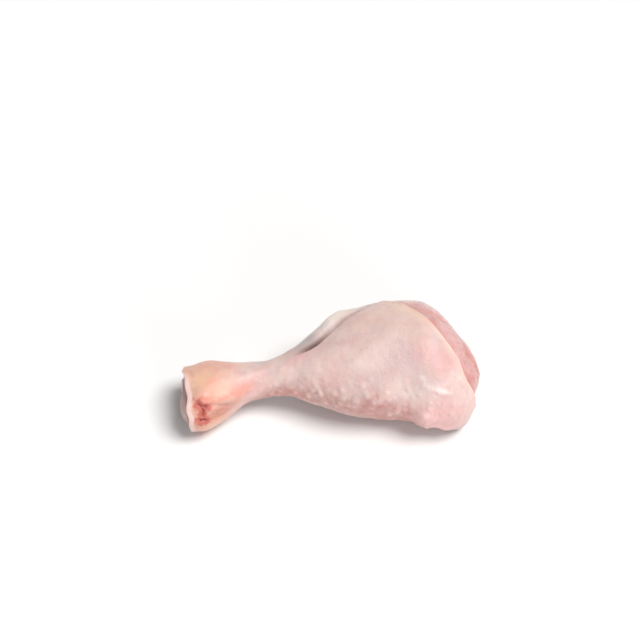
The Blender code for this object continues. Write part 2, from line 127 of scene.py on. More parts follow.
# The slack fold on the upper back of the calf: the crease's angle at each x, and the depth and width
# of the crease, which is full in one place and shallower past its reach. Then the height at each x of
# the roll of skin beside it.
FOLD_CREASE = ((-0.0240, 84), (-0.0130, 86), (-0.0065, 85), (0.0000, 73), (0.0060, 59), (0.0120, 49),
               (0.0190, 44), (0.0270, 41), (0.0400, 40))
FOLD_FROM_X = -0.0205
FOLD_TO_X = 0.0205
FOLD_END_SHARE = 0.50
CREASE_DEPTH = 0.0026
CREASE_WIDTH = 0.0011
CREASE_FULL = (-0.0075, 0.0070)
CREASE_END_SHARE = 0.20
CREASE_BED_WIDTH = 0.0080
ROLL_HEIGHTS = ((-0.0205, 0.0), (-0.0130, 0.0012), (-0.0085, 0.0019), (-0.0042, 0.0026), (0.0000, 0.0038),
                (0.0045, 0.0037), (0.0090, 0.0021), (0.0150, 0.0006), (0.0205, 0.0))
ROLL_WIDTH = 0.0035
ROLL_OFFSET = 0.0048

# The mesh's lines run along the leg and bend to follow the crease, gathered towards it. One starts at
# the crease's own angle in the lower part of the fold, and the bend fades out further around.
CREASE_HOME = 86
CREASE_CROWDING = 0.5
CROWDING_REACH = 40
BEND_REACH = 60
BEND_ROUNDS = 9

# The skin's other relief. A patch is its middle x and reach along, its middle angle and reach around. The
# wrinkles run across their patch at a slant, in degrees for each one, and their crests are flattened.
WRINKLE_HEIGHT = 0.00045
WRINKLE_SPACING = 0.0041
WRINKLE_SLANT = -26
WRINKLE_WAVER = 0.25
WRINKLE_FLATNESS = 0.35
WRINKLE_STRENGTH = (0.7, 0.9)
WRINKLE_PATCH = (-0.0050, 0.0105, 184, 19)
HEM_HEIGHT = 0.0011
HEM_LUMP = 0.0010
HEM_FINE_SHARE = 0.6
HEM_PATCH = (0.0440, 0.0130, 203, 16)
UNEVENNESS = 0.0003
UNEVENNESS_ALONG = 0.024
SKIN_GRAIN = 0.00012
KNOB_BED = (-0.0540, 0.0110, 148, 40)
KNOB_BED_DEPTH = 0.0016

# Swells, and hollows where the height is below 0: the patch and the height.
SWELLS = {
    "slack corner at the knee": ((0.0570, 0.0050, 213, 22), 0.0020),
    "hem's flap": ((0.0405, 0.0042, 193, 13), 0.0021),
    "knob's slack skin": ((-0.0505, 0.0075, 163, 14), -0.0008),
    "gash's hollow": ((-0.0555, 0.0028, 152, 16), -0.0005),
}

# Ridges, and grooves where the height is below 0: the stroke, its width and the height. A stroke is a line
# of places, each an x and an angle.
STROKES = {
    "hem's fold": (((0.0380, 206), (0.0470, 209), (0.0565, 205)), 0.0009, -0.0011),
    "knob's ridge": (((-0.0570, 119), (-0.0530, 127), (-0.0470, 138), (-0.0410, 158)), 0.0026, 0.0009),
    "knob's fold": (((-0.0535, 140), (-0.0490, 148), (-0.0452, 158)), 0.0009, -0.0007),
    "nick": (((-0.0616, 72), (-0.0606, 82)), 0.0008, -0.0004),
}

# The torn gash low on the ankle knob, and how far its blood reaches.
GASH = (((-0.0572, 136), (-0.0562, 141), (-0.0554, 147), (-0.0554, 158)),
        ((-0.0562, 141), (-0.0537, 144)), ((-0.0568, 168), (-0.0545, 170)))
GASH_DEPTH = 0.0012
GASH_WIDTH = 0.0009
GASH_REACH = 0.0044
GASH_WAVER = 0.0007
KNOB_RADIUS = 0.0150

# Goose flesh: spots where the feathers grew, in rows that step along the leg. Each spot's luck sets its
# width and its height. They stand up most around two angles and least on the taut belly, and fade out
# towards the neck and the rim. In one patch they are wider and higher.
SPOT_SPACING = 0.0040
SPOT_ROW_STEP = 0.87
SPOT_JITTER = 0.34
SPOT_SEED = 5
SPOT_WIDTH = 0.00085
LUMP_WIDTH = 0.0015
LUMP_PATCH = (0.0120, 0.0250, 180, 25)
LUMP_BOOST = 1.4
SPOT_WIDTH_BY_LUCK = (0.75, 0.5)
SPOT_HEIGHT_BY_LUCK = (0.25, 1.1)
SPOT_SIDES = ((190, 52, 1.0), (350, 50, 0.6))
SPOT_CALM = 0.22
SPOT_FADES = ((-0.044, 0.016), (0.066, -0.012))
FAT_LUMP_HEIGHT = 0.0001
SKIN_LUMP_HEIGHT = 0.00042

# Flesh: how far below the skin's outside it lies past the rim. Each muscle swells around a middle, x, y
# and z, with a groove between it and the next.
BARE_FLESH_DEPTH = 0.0011
RISE_LENGTH = 0.004
GROOVE_RISE_LENGTH = 0.003
MUSCLES = ((0.050, -0.017, 0.012), (0.056, -0.010, 0.026), (0.050, 0.002, 0.038), (0.046, 0.020, 0.031),
           (0.048, 0.022, 0.013), (0.060, 0.004, 0.024), (0.058, -0.001, 0.006))
MUSCLE_SLENDERNESS = 0.45
GROOVE_FROM_RADIUS = 0.012
GROOVE_DEPTH = 0.0006
GROOVE_WIDTH = 0.0020
MUSCLE_SWELL = 0.0004
MUSCLE_SWELL_WIDTH = 0.006
SMOOTH_PATCH = (0.0575, 0.0065, 44, 28)
SMOOTH_SHARE = 0.95
TIP_PATCH = (0.0645, 0.0045, 100, 50)
TIP_HEIGHT = 0.0016
TIP_FAN = 0.0010
FIBRE_DEPTH = 0.00006
FIBRE_STRETCH = (0.2, 1, 1)
FLESH_GRAIN = 0.0001
FLESH_START_X = -0.0605
JOINT_HOLLOW_DEPTH = 0.0024
JOINT_HOLLOW_WIDTH = 0.0130
COLLAR_HEIGHT = 0.0010
COLLAR_RADIUS = 0.0130
COLLAR_WIDTH = 0.0026
JOINT_GAP_ANGLE = 44
JOINT_GAP_REACH = 38

# Where the flesh is redder, whiter or darker: the raw tip, joint and grooves, the ankle, which is raw and
# also painted shade, the rim's painted shadow, the streaks, the sinews and the fat.
RAW_TIP = (0.0665, 0.0045, 130, 42)
RAW_JOINT_WIDTH = 0.015
SHADED_RAW_ANKLE_X = -0.050
SHADED_RAW_ANKLE_BLEND = 0.006
SHADED_RAW_ANKLE_SHARE = 0.6
RAW_GROOVE_SHARE = 0.35
RAW_DRIFT = 0.3
RIM_SHADOW_WIDTH = 0.0016
STREAK_STRETCH = (0.35, 1, 1)
STREAK_LEVEL = 0.2
SEAM_WIDTH = 0.0010
SEAM_LEVEL = 0.55
SEAM_DRIFT = 1.2
TENDON_RADIUS = 0.0140
TENDON_WIDTH = 0.0022
TENDON_LEVEL = 0.35
TENDON_DRIFT = (1.6, 0.8)
FLESH_FAT = ((0.0330, 0.0060, 38, 14, 1.0), (0.0400, 0.0040, 352, 16, 0.8), (0.0560, 0.0035, 318, 14, 0.8))
FLESH_FAT_DRIFT = 0.8

# Bone: the shaft with its two cartilage ends. x, y, z, half width in Y, half height in Z.
BONE_SECTIONS = {
    "ankle face": (-0.0646, -0.0106, 0.0128, 0.0098, 0.0082),
    "ankle knuckle": (-0.0622, -0.0106, 0.0129, 0.0120, 0.0100),
    "knuckle's back": (-0.0565, -0.0094, 0.0132, 0.0104, 0.0090),
    "lower shaft": (-0.0460, -0.0067, 0.0138, 0.0060, 0.0056),
    "shaft at the neck": (-0.0300, -0.0025, 0.0154, 0.0042, 0.0042),
    "middle of the shaft": (0.0050, 0.0016, 0.0190, 0.0042, 0.0042),
    "upper shaft": (0.0300, 0.0030, 0.0200, 0.0052, 0.0055),
    "knee flare": (0.0440, 0.0050, 0.0176, 0.0088, 0.0088),
    "knee knuckle": (0.0530, 0.0066, 0.0156, 0.0130, 0.0110),
    "knee's shoulder": (0.0590, 0.0070, 0.0148, 0.0116, 0.0098),
    "knee face": (0.0618, 0.0072, 0.0145, 0.0084, 0.0070),
}
KNEE_JOINT = BONE_SECTIONS["knee face"][:3]
ANKLE_JOINT = BONE_SECTIONS["ankle face"][:3]
KNEE_FACE_CROWN = 0.0012
ANKLE_FACE_CROWN = 0.0010
CONDYLE_NOTCH = 0.16
CONDYLE_NOTCH_WIDTH = 0.45
SHAFT_WIDTH = 0.0052
BONE_GRAIN = 0.00012

# The joints' faces: a saddle, two lobes beside it at an offset, and their grain. Then where the cartilage
# begins at each end, the grooves of its faces, the pink rim, the raw ankle that is also painted shade, and
# the stains.
SADDLE_DEPTH = 0.0011
SADDLE_WIDTH = 0.0026
LOBE_HEIGHT = 0.0005
LOBE_OFFSET = 0.0058
LOBE_WIDTH = 0.0030
FACE_GRAIN = 0.0001
CARTILAGE_FROM = (-0.0555, 0.050)
CARTILAGE_BLEND = 0.003
FACE_REACH = 0.02
FACE_GROOVE_WIDTHS = (0.0020, 0.0018)
PINK_RIM_FROM = 0.0062
PINK_RIM_WAVER = 0.0022
PINK_RIM_BLEND = 0.0045
SHADED_RAW_CARTILAGE_X = -0.054
SHADED_RAW_CARTILAGE_LEVEL = 0.75
SHADED_RAW_CARTILAGE_DRIFT = 0.5
GROOVE_STAIN = 0.55
DRIFT_STAIN = 0.9
DRIFT_STAIN_FROM = 0.18
DRIFT_STAIN_BLEND = 0.4

# Mesh fineness: faces around and along each piece.
SKIN_AROUND = 256
SKIN_ALONG = 330
LINING_ALONG = 26
FLESH_AROUND = 220
FLESH_COVERED_ALONG = 34
FLESH_BARE_ALONG = 150
FLESH_BARE_LEAD = 0.004
BONE_AROUND = 96
BONE_ALONG = 150
END_CROWDING = 0.6
BED_AROUND = 64
BED_ALONG = 60
END_RINGS = 14

# The part of the baking map's height that each surface takes up.
OUTSIDE_BAND = (0.12, 1.0)
LINING_BAND = (0.0, 0.08)
ANKLE_RIM_BAND = (0.085, 0.095)
KNEE_RIM_BAND = (0.10, 0.11)
FLESH_BAND = (0.05, 0.97)
BONE_BAND = (0.1, 0.9)

# Uneven fields: the size over which each changes, its seed and its number of finer and fainter layers.
FIELDS = {
    "wrinkles' waver": (0.004, 11, 1),
    "wrinkles' strength": (0.003, 12, 1),
    "hem's lumps": (0.005, 13, 1),
    "hem's fine lumps": (0.0025, 14, 1),
    "skin's grain": (0.005, 21, 3),
    "fibres": (0.0011, 32, 1),
    "flesh's grain": (0.006, 33, 3),
    "skin's drift": (0.012, 41, 3),
    "skin's fine drift": (0.004, 44, 3),
    "flesh's drift": (0.008, 51, 3),
    "flesh's streaks": (0.003, 55, 3),
    "flesh's fine drift": (0.0035, 57, 3),
    "bone's grain": (0.003, 61, 1),
    "joint's grain": (0.002, 63, 1),
    "bone's drift": (0.005, 66, 3),
    "gash along": (0.0022, 71, 1),
    "gash around": (0.0022, 72, 1),
}

# The skin's tints, painted light and shade among them, each laid on in patches: x, reach along, angle, reach
# around and strength.
SKIN_PAINT = {
    # Fat flecks: small pale fat that is also painted highlights on the lower front, with a faint bump.
    "fat_and_highlight": ((0.0388, 0.0018, 140, 3, 0.5), (0.041, 0.0024, 146, 4, 0.3), (0.0472, 0.0038, 148, 3, 0.8),
              (0.0318, 0.0014, 161, 3, 0.7), (0.0401, 0.0014, 157, 3, 0.5), (0.0449, 0.0014, 156, 2, 0.4),
              (0.0544, 0.004, 127, 7, 0.4), (0.046, 0.0095, 142, 10, 0.3), (0.0245, 0.0012, 151, 2, 0.6)),
    "lump": ((-0.0091, 0.0013, 182, 7, 0.9), (-0.0042, 0.0013, 174, 7, 1.0),
             (-0.0012, 0.0013, 165, 6, 1.0), (0.0063, 0.0018, 168, 6, 1.0), (-0.0068, 0.0014, 160, 5, 0.9),
             (-0.0101, 0.0012, 144, 5, 0.7), (0.0045, 0.0012, 158, 4, 0.7), (0.0076, 0.0017, 148, 4, 0.7),
             (0.0159, 0.0016, 164, 5, 1.0), (0.0225, 0.0018, 165, 5, 1.0), (0.0194, 0.0016, 172, 4, 0.8),
             (0.026, 0.0013, 195, 4, 0.9), (-0.0169, 0.0012, 163, 6, 0.8), (-0.0125, 0.0012, 163, 5, 0.7),
             (-0.002, 0.0012, 192, 5, 0.8), (-0.0146, 0.0012, 108, 5, 0.6), (-0.0218, 0.0014, 106, 8, 0.6),
             (-0.0245, 0.0014, 145, 8, 0.7), (-0.0194, 0.0012, 148, 7, 0.6), (0.0118, 0.0014, 176, 5, 0.9),
             (0.03, 0.0017, 178, 4, 0.8)),
    "fat": ((0.04, 0.012, 88, 20, 0.3), (0.027, 0.012, 62, 16, 0.5), (0.0165, 0.009, 74, 14, 0.35)),
    "warm": ((-0.0035, 0.01, 130, 24, 0.85), (0.0, 0.008, 168, 14, 0.8), (-0.027, 0.007, 120, 30, 0.4)),
    # Hollow patches: painted grey shade low in the fold, in front of the roll.
    "hollow": ((-0.0078, 0.0046, 66, 13, 0.9), (-0.0015, 0.003, 64, 9, 0.45)),
    # Pale patches: whiter skin, and painted light that lightens shaded skin low on the front and beside the
    # fold.
    "pale": ((0.015, 0.0065, 124, 13, 0.35), (0.0355, 0.0095, 166, 12, 1.0), (0.045, 0.008, 178, 13, 0.1),
             (0.047, 0.009, 208, 12, 0.4), (-0.012, 0.0085, 122, 31, 0.85), (0.029, 0.012, 142, 18, 0.3)),
    # Bright pink patches: painted light in a pink tone on shaded skin at the hem's corner, low on the front
    # and beside the fold.
    "pink_painted_light": ((0.046, 0.0085, 178, 17, 1.0), (0.049, 0.006, 202, 12, 0.6), (0.033, 0.0048, 187, 9, 0.8),
              (-0.014, 0.006, 100, 24, 0.8), (0.0, 0.009, 150, 13, 0.45)),
    "lilac": ((0.03, 0.0085, 128, 14, 0.9), (0.023, 0.008, 142, 10, 0.5), (0.037, 0.006, 118, 10, 0.4),
              (-0.002, 0.005, 96, 8, 0.3)),
    # Rosy patches: redder skin low on the front, and painted shade on the neck's underside.
    "rosy_and_underside_shade": ((0.023, 0.013, 190, 20, 1.0), (-0.001, 0.01, 192, 22, 0.75), (0.0172, 0.006, 180, 12, 0.8),
             (-0.0175, 0.006, 172, 13, 0.35), (-0.02, 0.008, 196, 14, 0.9),
             (-0.0215, 0.0085, 182, 24, 0.95), (0.036, 0.01, 198, 15, 0.5), (0.025, 0.026, 250, 40, 0.4),
             (-0.027, 0.011, 212, 22, 0.8)),
    # Pink patches: pinker skin at the knee's corner and the neck; those on the belly near the knee's rim, at
    # 113 to 122 degrees, are painted shade that dulls a highlight.
    "pink": ((0.052, 0.009, 178, 24, 0.9), (0.0465, 0.0055, 122, 11, 0.7), (0.05, 0.005, 114, 12, 0.5),
             (0.0425, 0.007, 113, 12, 1.0), (-0.034, 0.005, 130, 30, 0.4), (0.01, 0.005, 68, 8, 0.5)),
    "yellow": ((-0.0568, 0.0045, 92, 22, 0.9), (-0.048, 0.005, 118, 14, 0.35),
               (-0.0507, 0.005, 193, 14, 0.5), (-0.056, 0.008, 330, 50, 0.6)),
    "flush": ((-0.0538, 0.0032, 128, 10, 1.0), (-0.049, 0.005, 138, 7, 0.6), (-0.0518, 0.003, 103, 8, 0.5),
              (-0.038, 0.0055, 142, 22, 0.5), (-0.05, 0.01, 66, 12, 0.25), (-0.049, 0.006, 20, 30, 0.5),
              (-0.057, 0.004, 235, 30, 0.5)),
    # Shade patches: painted shade on the ankle knob, most under its fold and lightly over its top.
    "shade": ((-0.05, 0.007, 110, 16, 0.2), (-0.049, 0.0075, 163, 13, 1.0), (-0.055, 0.004, 170, 10, 0.35),
              (-0.0462, 0.0045, 175, 9, 0.6)),
}
PAINT_UNEVENNESS = (0.45, 0.35)
PAINT_EDGE_SHARE = 0.25

# Fat shows along the knee's rim, around one angle of it.
RIM_FAT = 0.8
RIM_FAT_LEVEL = 1.1
RIM_FAT_DRIFT = 0.3
RIM_FAT_WIDTH = 0.0045
RIM_FAT_ANGLE = 60
RIM_FAT_REACH = 165
RIM_FAT_BLEND = 60

# The ankle's tint begins at an x. Its rim is white, and duller in one patch.
KNOB_TINT_X = -0.0375
KNOB_TINT_BLEND = 0.014
KNOB_TINT_WAVER = 0.005
ANKLE_RIM_WIDTH = 0.0052
RIM_FADE = (-0.0620, 0.0090, 58, 26)
RIM_FADE_SHARE = 0.5
# Painted shade along the ankle knob's fold, laid on in the flush colour; blood along the nick.
KNOB_FOLD_SHADE = 0.6
NICK_BLOOD = 0.45

# The fold's colour and the crease's painted shade are fainter along the tail.
TAIL_END_X = -0.0165
TAIL_LENGTH = 0.0065
TAIL_COLOUR = 0.3
TAIL_DARKNESS = 0.5
FOLD_COLOUR_WIDTH = 0.0042
FOLD_COLOUR_EDGE = 0.0015
# How far the painted shade in the fold's hollow reaches in front of the roll.
HOLLOW_SHADE_EDGE = 0.002
# Where the painted shade at the bottom of the crease lies, and its width.
CREASE_SHADE_SHIFT = 0.0004
CREASE_SHADE_WIDTH = 0.00088


def curve_through(knots, values, at):
    """A smooth curve through the values at the knots, read at any places."""
    knots = np.asarray(knots, float)
    values = np.asarray(values, float)
    at = np.clip(at, knots[0], knots[-1])
    slopes = np.gradient(values, knots)
    left = np.clip(np.searchsorted(knots, at, side="right") - 1, 0, len(knots) - 2)
    width = knots[left + 1] - knots[left]
    t = (at - knots[left]) / width
    start = (1 + 2 * t) * (1 - t) ** 2 * values[left] + t * (1 - t) ** 2 * width * slopes[left]
    end = t * t * (3 - 2 * t) * values[left + 1] + t * t * (t - 1) * width * slopes[left + 1]
    return start + end


def closed_curve_through(angles, values, at):
    """The same around the leg, with angles in degrees that repeat after a full turn."""
    knots = [a - 360 for a in angles] + list(angles) + [a + 360 for a in angles]
    return curve_through(knots, list(values) * 3, np.mod(at, 360))


def smooth_step(t):
    t = np.clip(t, 0, 1)
    return t * t * (3 - 2 * t)


def bump(distance, width):
    return np.exp(-((distance / width) ** 2))


def turn_from(angle, start):
    """The turn in degrees from one angle to another, the short way round."""
    return np.mod(angle - start + 180, 360) - 180


def in_patch(x, degrees, patch):
    """1 in the middle of a patch of skin, easing to 0 around it."""
    middle_x, reach_x, middle_angle, reach_angle = patch
    return bump(x - middle_x, reach_x) * bump(turn_from(degrees, middle_angle), reach_angle)


def from_stroke(x, degrees, stroke):
    """Distance from a line drawn over the leg from place to place."""
    radius = (body_column(4, length_at_x(x)) + body_column(5, length_at_x(x))) / 2
    nearest = np.full(np.shape(x), np.inf)
    for (x_from, angle_from), (x_to, angle_to) in zip(stroke, stroke[1:]):
        step_x = x_to - x_from
        step_around = np.radians(angle_to - angle_from) * radius
        off_x = x - x_from
        off_around = np.radians(turn_from(degrees, angle_from)) * radius
        part = (off_x * step_x + off_around * step_around) / (step_x ** 2 + step_around ** 2)
        part = np.clip(part, 0, 1)
        nearest = np.minimum(nearest, np.hypot(off_x - part * step_x, off_around - part * step_around))
    return nearest


def along_stroke(x, degrees, stroke, width):
    """1 on a line drawn over the leg from place to place, easing to 0 beside it."""
    return bump(from_stroke(x, degrees, stroke), width)


def soft_noise(points, size, seed):
    """Smooth random values from -1 to 1 at points in space, changing over about the given size."""
    draw = np.random.RandomState(seed)
    order = draw.permutation(256)
    heights = draw.uniform(-1, 1, 256)
    place = points / size
    cell = np.floor(place).astype(int)
    t = smooth_step(place - cell)
    total = 0.0
    for corner in np.ndindex(2, 2, 2):
        key = 0
        for axis in range(3):
            key = order[(key + cell[..., axis] + corner[axis]) & 255]
        total = total + np.prod(np.where(corner, t, 1 - t), axis=-1) * heights[key]
    return total


def uneven(points, name, stretch=(1, 1, 1)):
    """The values of an uneven field at points in space, with its finer and fainter layers on it."""
    size, seed, layers = FIELDS[name]
    scaled = points * np.array(stretch)
    total = sum(soft_noise(scaled, size / 2 ** layer, seed + layer) / 2 ** layer for layer in range(layers))
    return total / (2 - 0.5 ** (layers - 1))


def dome_sections():
    """The sections that close the knee end, from the dome's start to its tip."""
    rows = []
    for i in range(DOME_STEPS + 1):
        angle = math.pi / 2 * i / DOME_STEPS
        along = math.sin(angle)
        place = [a + (b - a) * along for a, b in zip(DOME_START[:3], DOME_TIP)]
        reach = []
        for size, name in zip(DOME_START[3:], REACHES):
            fullness, bluntness = DOME_FORM[name]
            reach.append(size * max(0.0, 1 - along ** fullness) ** (1 / bluntness))
        rows.append(tuple(place + reach))
    return rows


def chord_lengths(rows, reach_column):
    """The length along the outline from the first section to each one."""
    lengths = [0.0]
    for a, b in zip(rows, rows[1:]):
        lengths.append(lengths[-1] + math.hypot(b[0] - a[0], b[reach_column] - a[reach_column]))
    return lengths


BODY_ROWS = list(SECTIONS.values()) + dome_sections()
BODY_LENGTHS = chord_lengths(BODY_ROWS, 4)
BODY_END = BODY_LENGTHS[-1]


def body_column(column, length):
    return curve_through(BODY_LENGTHS, [row[column] for row in BODY_ROWS], length)


def length_at_x(x):
    """The length along the outline at which the sections reach x."""
    lengths = np.linspace(0, BODY_END, 2000)
    return np.interp(x, body_column(0, lengths), lengths)


def rest_on_floor(z):
    """Ease whatever is below the floor into a flat spot at z = 0."""
    eased = (np.clip(z, -FLOOR_BLEND, FLOOR_BLEND) + FLOOR_BLEND) ** 2 / (4 * FLOOR_BLEND)
    return np.where(z > FLOOR_BLEND, z, eased)


def body_points(length, degrees):
    """Points on the leg's plain outside, with no relief on it."""
    angle = np.radians(degrees)
    across = np.cos(angle)
    up = np.sin(angle)
    side = np.where(across > 0, body_column(3, length), body_column(4, length))
    height = np.where(up > 0, body_column(5, length), body_column(6, length))
    x = body_column(0, length)
    y = body_column(1, length) + side * across
    z = rest_on_floor(body_column(2, length) + height * up)
    return np.stack([x, y, z], axis=-1)


def body_normals(length, degrees):
    """Outward unit normals of the plain outside, from short steps along and around it."""
    step = 0.0004
    turn = 1.0
    length = np.clip(length, step, BODY_END - 3 * step)
    along = body_points(length + step, degrees) - body_points(length - step, degrees)
    around = body_points(length, degrees + turn) - body_points(length, degrees - turn)
    normal = np.cross(around, along)
    return normal / np.linalg.norm(normal, axis=-1, keepdims=True)


RIM_ANGLES = [angle for angle, _ in KNEE_RIM]
RIM_LENGTHS = list(length_at_x([x for _, x in KNEE_RIM]))


def waves_round(degrees, waves):
    """The sum of a torn edge's small waves."""
    return sum(height * np.sin(np.radians(count * degrees + start)) for count, start, height in waves)


def knee_rim(degrees):
    """The length at which the skin's cut rim lies."""
    rim = closed_curve_through(RIM_ANGLES, RIM_LENGTHS, degrees)
    return rim + RIM_WAVE * waves_round(degrees, RIM_WAVES)


def ankle_edge(degrees):
    """The length at which the skin was cut at the ankle."""
    slant = ANKLE_SLANT * np.cos(np.radians(degrees - ANKLE_SLANT_ANGLE))
    return length_at_x(ANKLE_EDGE_X - slant + ANKLE_WAVE * waves_round(degrees, ANKLE_WAVES))


def crease_angle(x):
    """The angle around the leg at which the fold's crease lies."""
    return curve_through(*zip(*FOLD_CREASE), x)


def follow_crease(length, degrees):
    """Bend the lines that run along the leg, so that one lies on the crease and its neighbours close in."""
    offset = turn_from(degrees, CREASE_HOME)
    gathered = offset * (1 - CREASE_CROWDING * bump(offset, CROWDING_REACH))
    bend = (crease_angle(body_column(0, length)) - CREASE_HOME) * bump(offset, BEND_REACH)
    return CREASE_HOME + gathered + bend


def fold_window(x):
    """1 along the fold, easing to 0 at its two ends."""
    middle = (FOLD_FROM_X + FOLD_TO_X) / 2
    half = (FOLD_TO_X - FOLD_FROM_X) / 2
    return smooth_step((1 - np.abs(x - middle) / half) / FOLD_END_SHARE)


def crease_depth(x):
    """How deep the crease is, most in the lower part of the fold."""
    middle, reach = CREASE_FULL
    share = CREASE_END_SHARE + (1 - CREASE_END_SHARE) * bump(x - middle, reach)
    return CREASE_DEPTH * share * fold_window(x)


def across_crease(length, degrees):
    """Distance from the crease around the leg, positive towards the back."""
    x = body_column(0, length)
    radius = (body_column(3, length) + body_column(5, length)) / 2
    return np.radians(turn_from(crease_angle(x), degrees)) * radius


def skin_relief(length, degrees):
    """How far the skin stands off the plain outside, apart from its goose flesh."""
    x = body_column(0, length)
    points = body_points(length, degrees)
    across = across_crease(length, degrees)
    relief = curve_through(*zip(*ROLL_HEIGHTS), x) * bump(across - ROLL_OFFSET, ROLL_WIDTH)
    relief -= crease_depth(x) * bump(across, CREASE_WIDTH)

    # wrinkles where the skin gathers at the front of the neck, running down towards the knee
    waver = WRINKLE_WAVER * uneven(points, "wrinkles' waver")
    wrinkle = np.sin(2 * math.pi * (x / WRINKLE_SPACING + degrees / WRINKLE_SLANT + waver))
    least, more = WRINKLE_STRENGTH
    strength = in_patch(x, degrees, WRINKLE_PATCH) * (least + more * uneven(points, "wrinkles' strength"))
    relief += WRINKLE_HEIGHT * strength * (wrinkle - WRINKLE_FLATNESS * wrinkle ** 2)

    # a lumpy hem low on the front
    lumps = uneven(points, "hem's lumps") + HEM_FINE_SHARE * uneven(points, "hem's fine lumps")
    relief += (HEM_HEIGHT + HEM_LUMP * lumps) * in_patch(x, degrees, HEM_PATCH)

    for patch, height in SWELLS.values():
        relief += height * in_patch(x, degrees, patch)
    for stroke, width, height in STROKES.values():
        relief += height * along_stroke(x, degrees, stroke, width)
    relief -= GASH_DEPTH * bump(from_gash(points, x, degrees), GASH_WIDTH)

    # the slow unevenness of soft skin over muscle
    along = 2 * math.pi * x / UNEVENNESS_ALONG
    around = np.radians(degrees)
    relief += UNEVENNESS * np.sin(along + 2 * around) * np.sin(3 * around + along / 3)
    return relief + SKIN_GRAIN * uneven(points, "skin's grain")


def from_gash(points, x, degrees):
    """Distance from the torn lines of the gash low on the ankle knob, which waver."""
    shift = GASH_WAVER * uneven(points, "gash along")
    turn = np.degrees(GASH_WAVER * uneven(points, "gash around") / KNOB_RADIUS)
    return np.min([from_stroke(x + shift, degrees + turn, stroke) for stroke in GASH], axis=0)


def skin_depth(length, degrees):
    """How far the skin's inner side lies below the plain outside."""
    x = body_column(0, length)
    taper = smooth_step((knee_rim(degrees) - length) / RIM_TAPER_LENGTH)
    depth = RIM_THICKNESS + (SKIN_THICKNESS - RIM_THICKNESS) * taper
    depth += crease_depth(x) * bump(across_crease(length, degrees), CREASE_BED_WIDTH)
    return depth + KNOB_BED_DEPTH * in_patch(x, degrees, KNOB_BED)


def flesh_depth(length, degrees):
    """How far the flesh lies below the plain outside, under the skin and past its rim."""
    x = body_column(0, length)
    points = body_points(length, degrees)
    past_rim = length - knee_rim(degrees)
    bare = smooth_step((past_rim - SKIN_GAP) / RISE_LENGTH)
    covered_depth = skin_depth(length, degrees) + SKIN_GAP
    depth = covered_depth + (BARE_FLESH_DEPTH - covered_depth) * bare
    shown = smooth_step(past_rim / GROOVE_RISE_LENGTH)
    shown = shown * smooth_step(body_column(3, length) / GROOVE_FROM_RADIUS)
    from_edge = between_muscles(points)
    parted = shown * (1 - SMOOTH_SHARE * in_patch(x, degrees, SMOOTH_PATCH))
    depth += parted * GROOVE_DEPTH * bump(from_edge, GROOVE_WIDTH)
    depth -= parted * MUSCLE_SWELL * smooth_step(from_edge / MUSCLE_SWELL_WIDTH)
    depth -= shown * TIP_HEIGHT * in_patch(x, degrees, TIP_PATCH)

    # the hollow round the joint, with a collar of flesh around it that is open at one side
    from_joint = np.linalg.norm(points - KNEE_JOINT, axis=-1)
    shown *= 1 - bump(turn_from(degrees, JOINT_GAP_ANGLE), JOINT_GAP_REACH)
    depth += shown * JOINT_HOLLOW_DEPTH * bump(from_joint, JOINT_HOLLOW_WIDTH)
    depth -= shown * COLLAR_HEIGHT * bump(from_joint - COLLAR_RADIUS, COLLAR_WIDTH)
    fibres = FIBRE_DEPTH * uneven(points, "fibres", FIBRE_STRETCH)
    return depth + bare * (fibres - FLESH_GRAIN * uneven(points, "flesh's grain"))


def between_muscles(points):
    """How far a point lies from the groove between the two nearest muscles."""
    slender = np.array((MUSCLE_SLENDERNESS, 1, 1))
    far = [np.linalg.norm((points - muscle) * slender, axis=-1) for muscle in MUSCLES]
    far = np.sort(far, axis=0)
    return far[1] - far[0]


# ---------------------------------------------------------------------------------------------
# Meshes
# ---------------------------------------------------------------------------------------------


def share_steps(count, crowding=0.0):
    """Even steps from 0 to 1, closer together at both ends by the crowding."""
    steps = np.linspace(0, 1, count + 1)
    return steps - crowding * np.sin(2 * math.pi * steps) / (2 * math.pi)


def share_and_turn(steps, columns):
    turn = CREASE_HOME + 360 * np.arange(columns) / columns
    return np.meshgrid(steps, turn, indexing="ij")


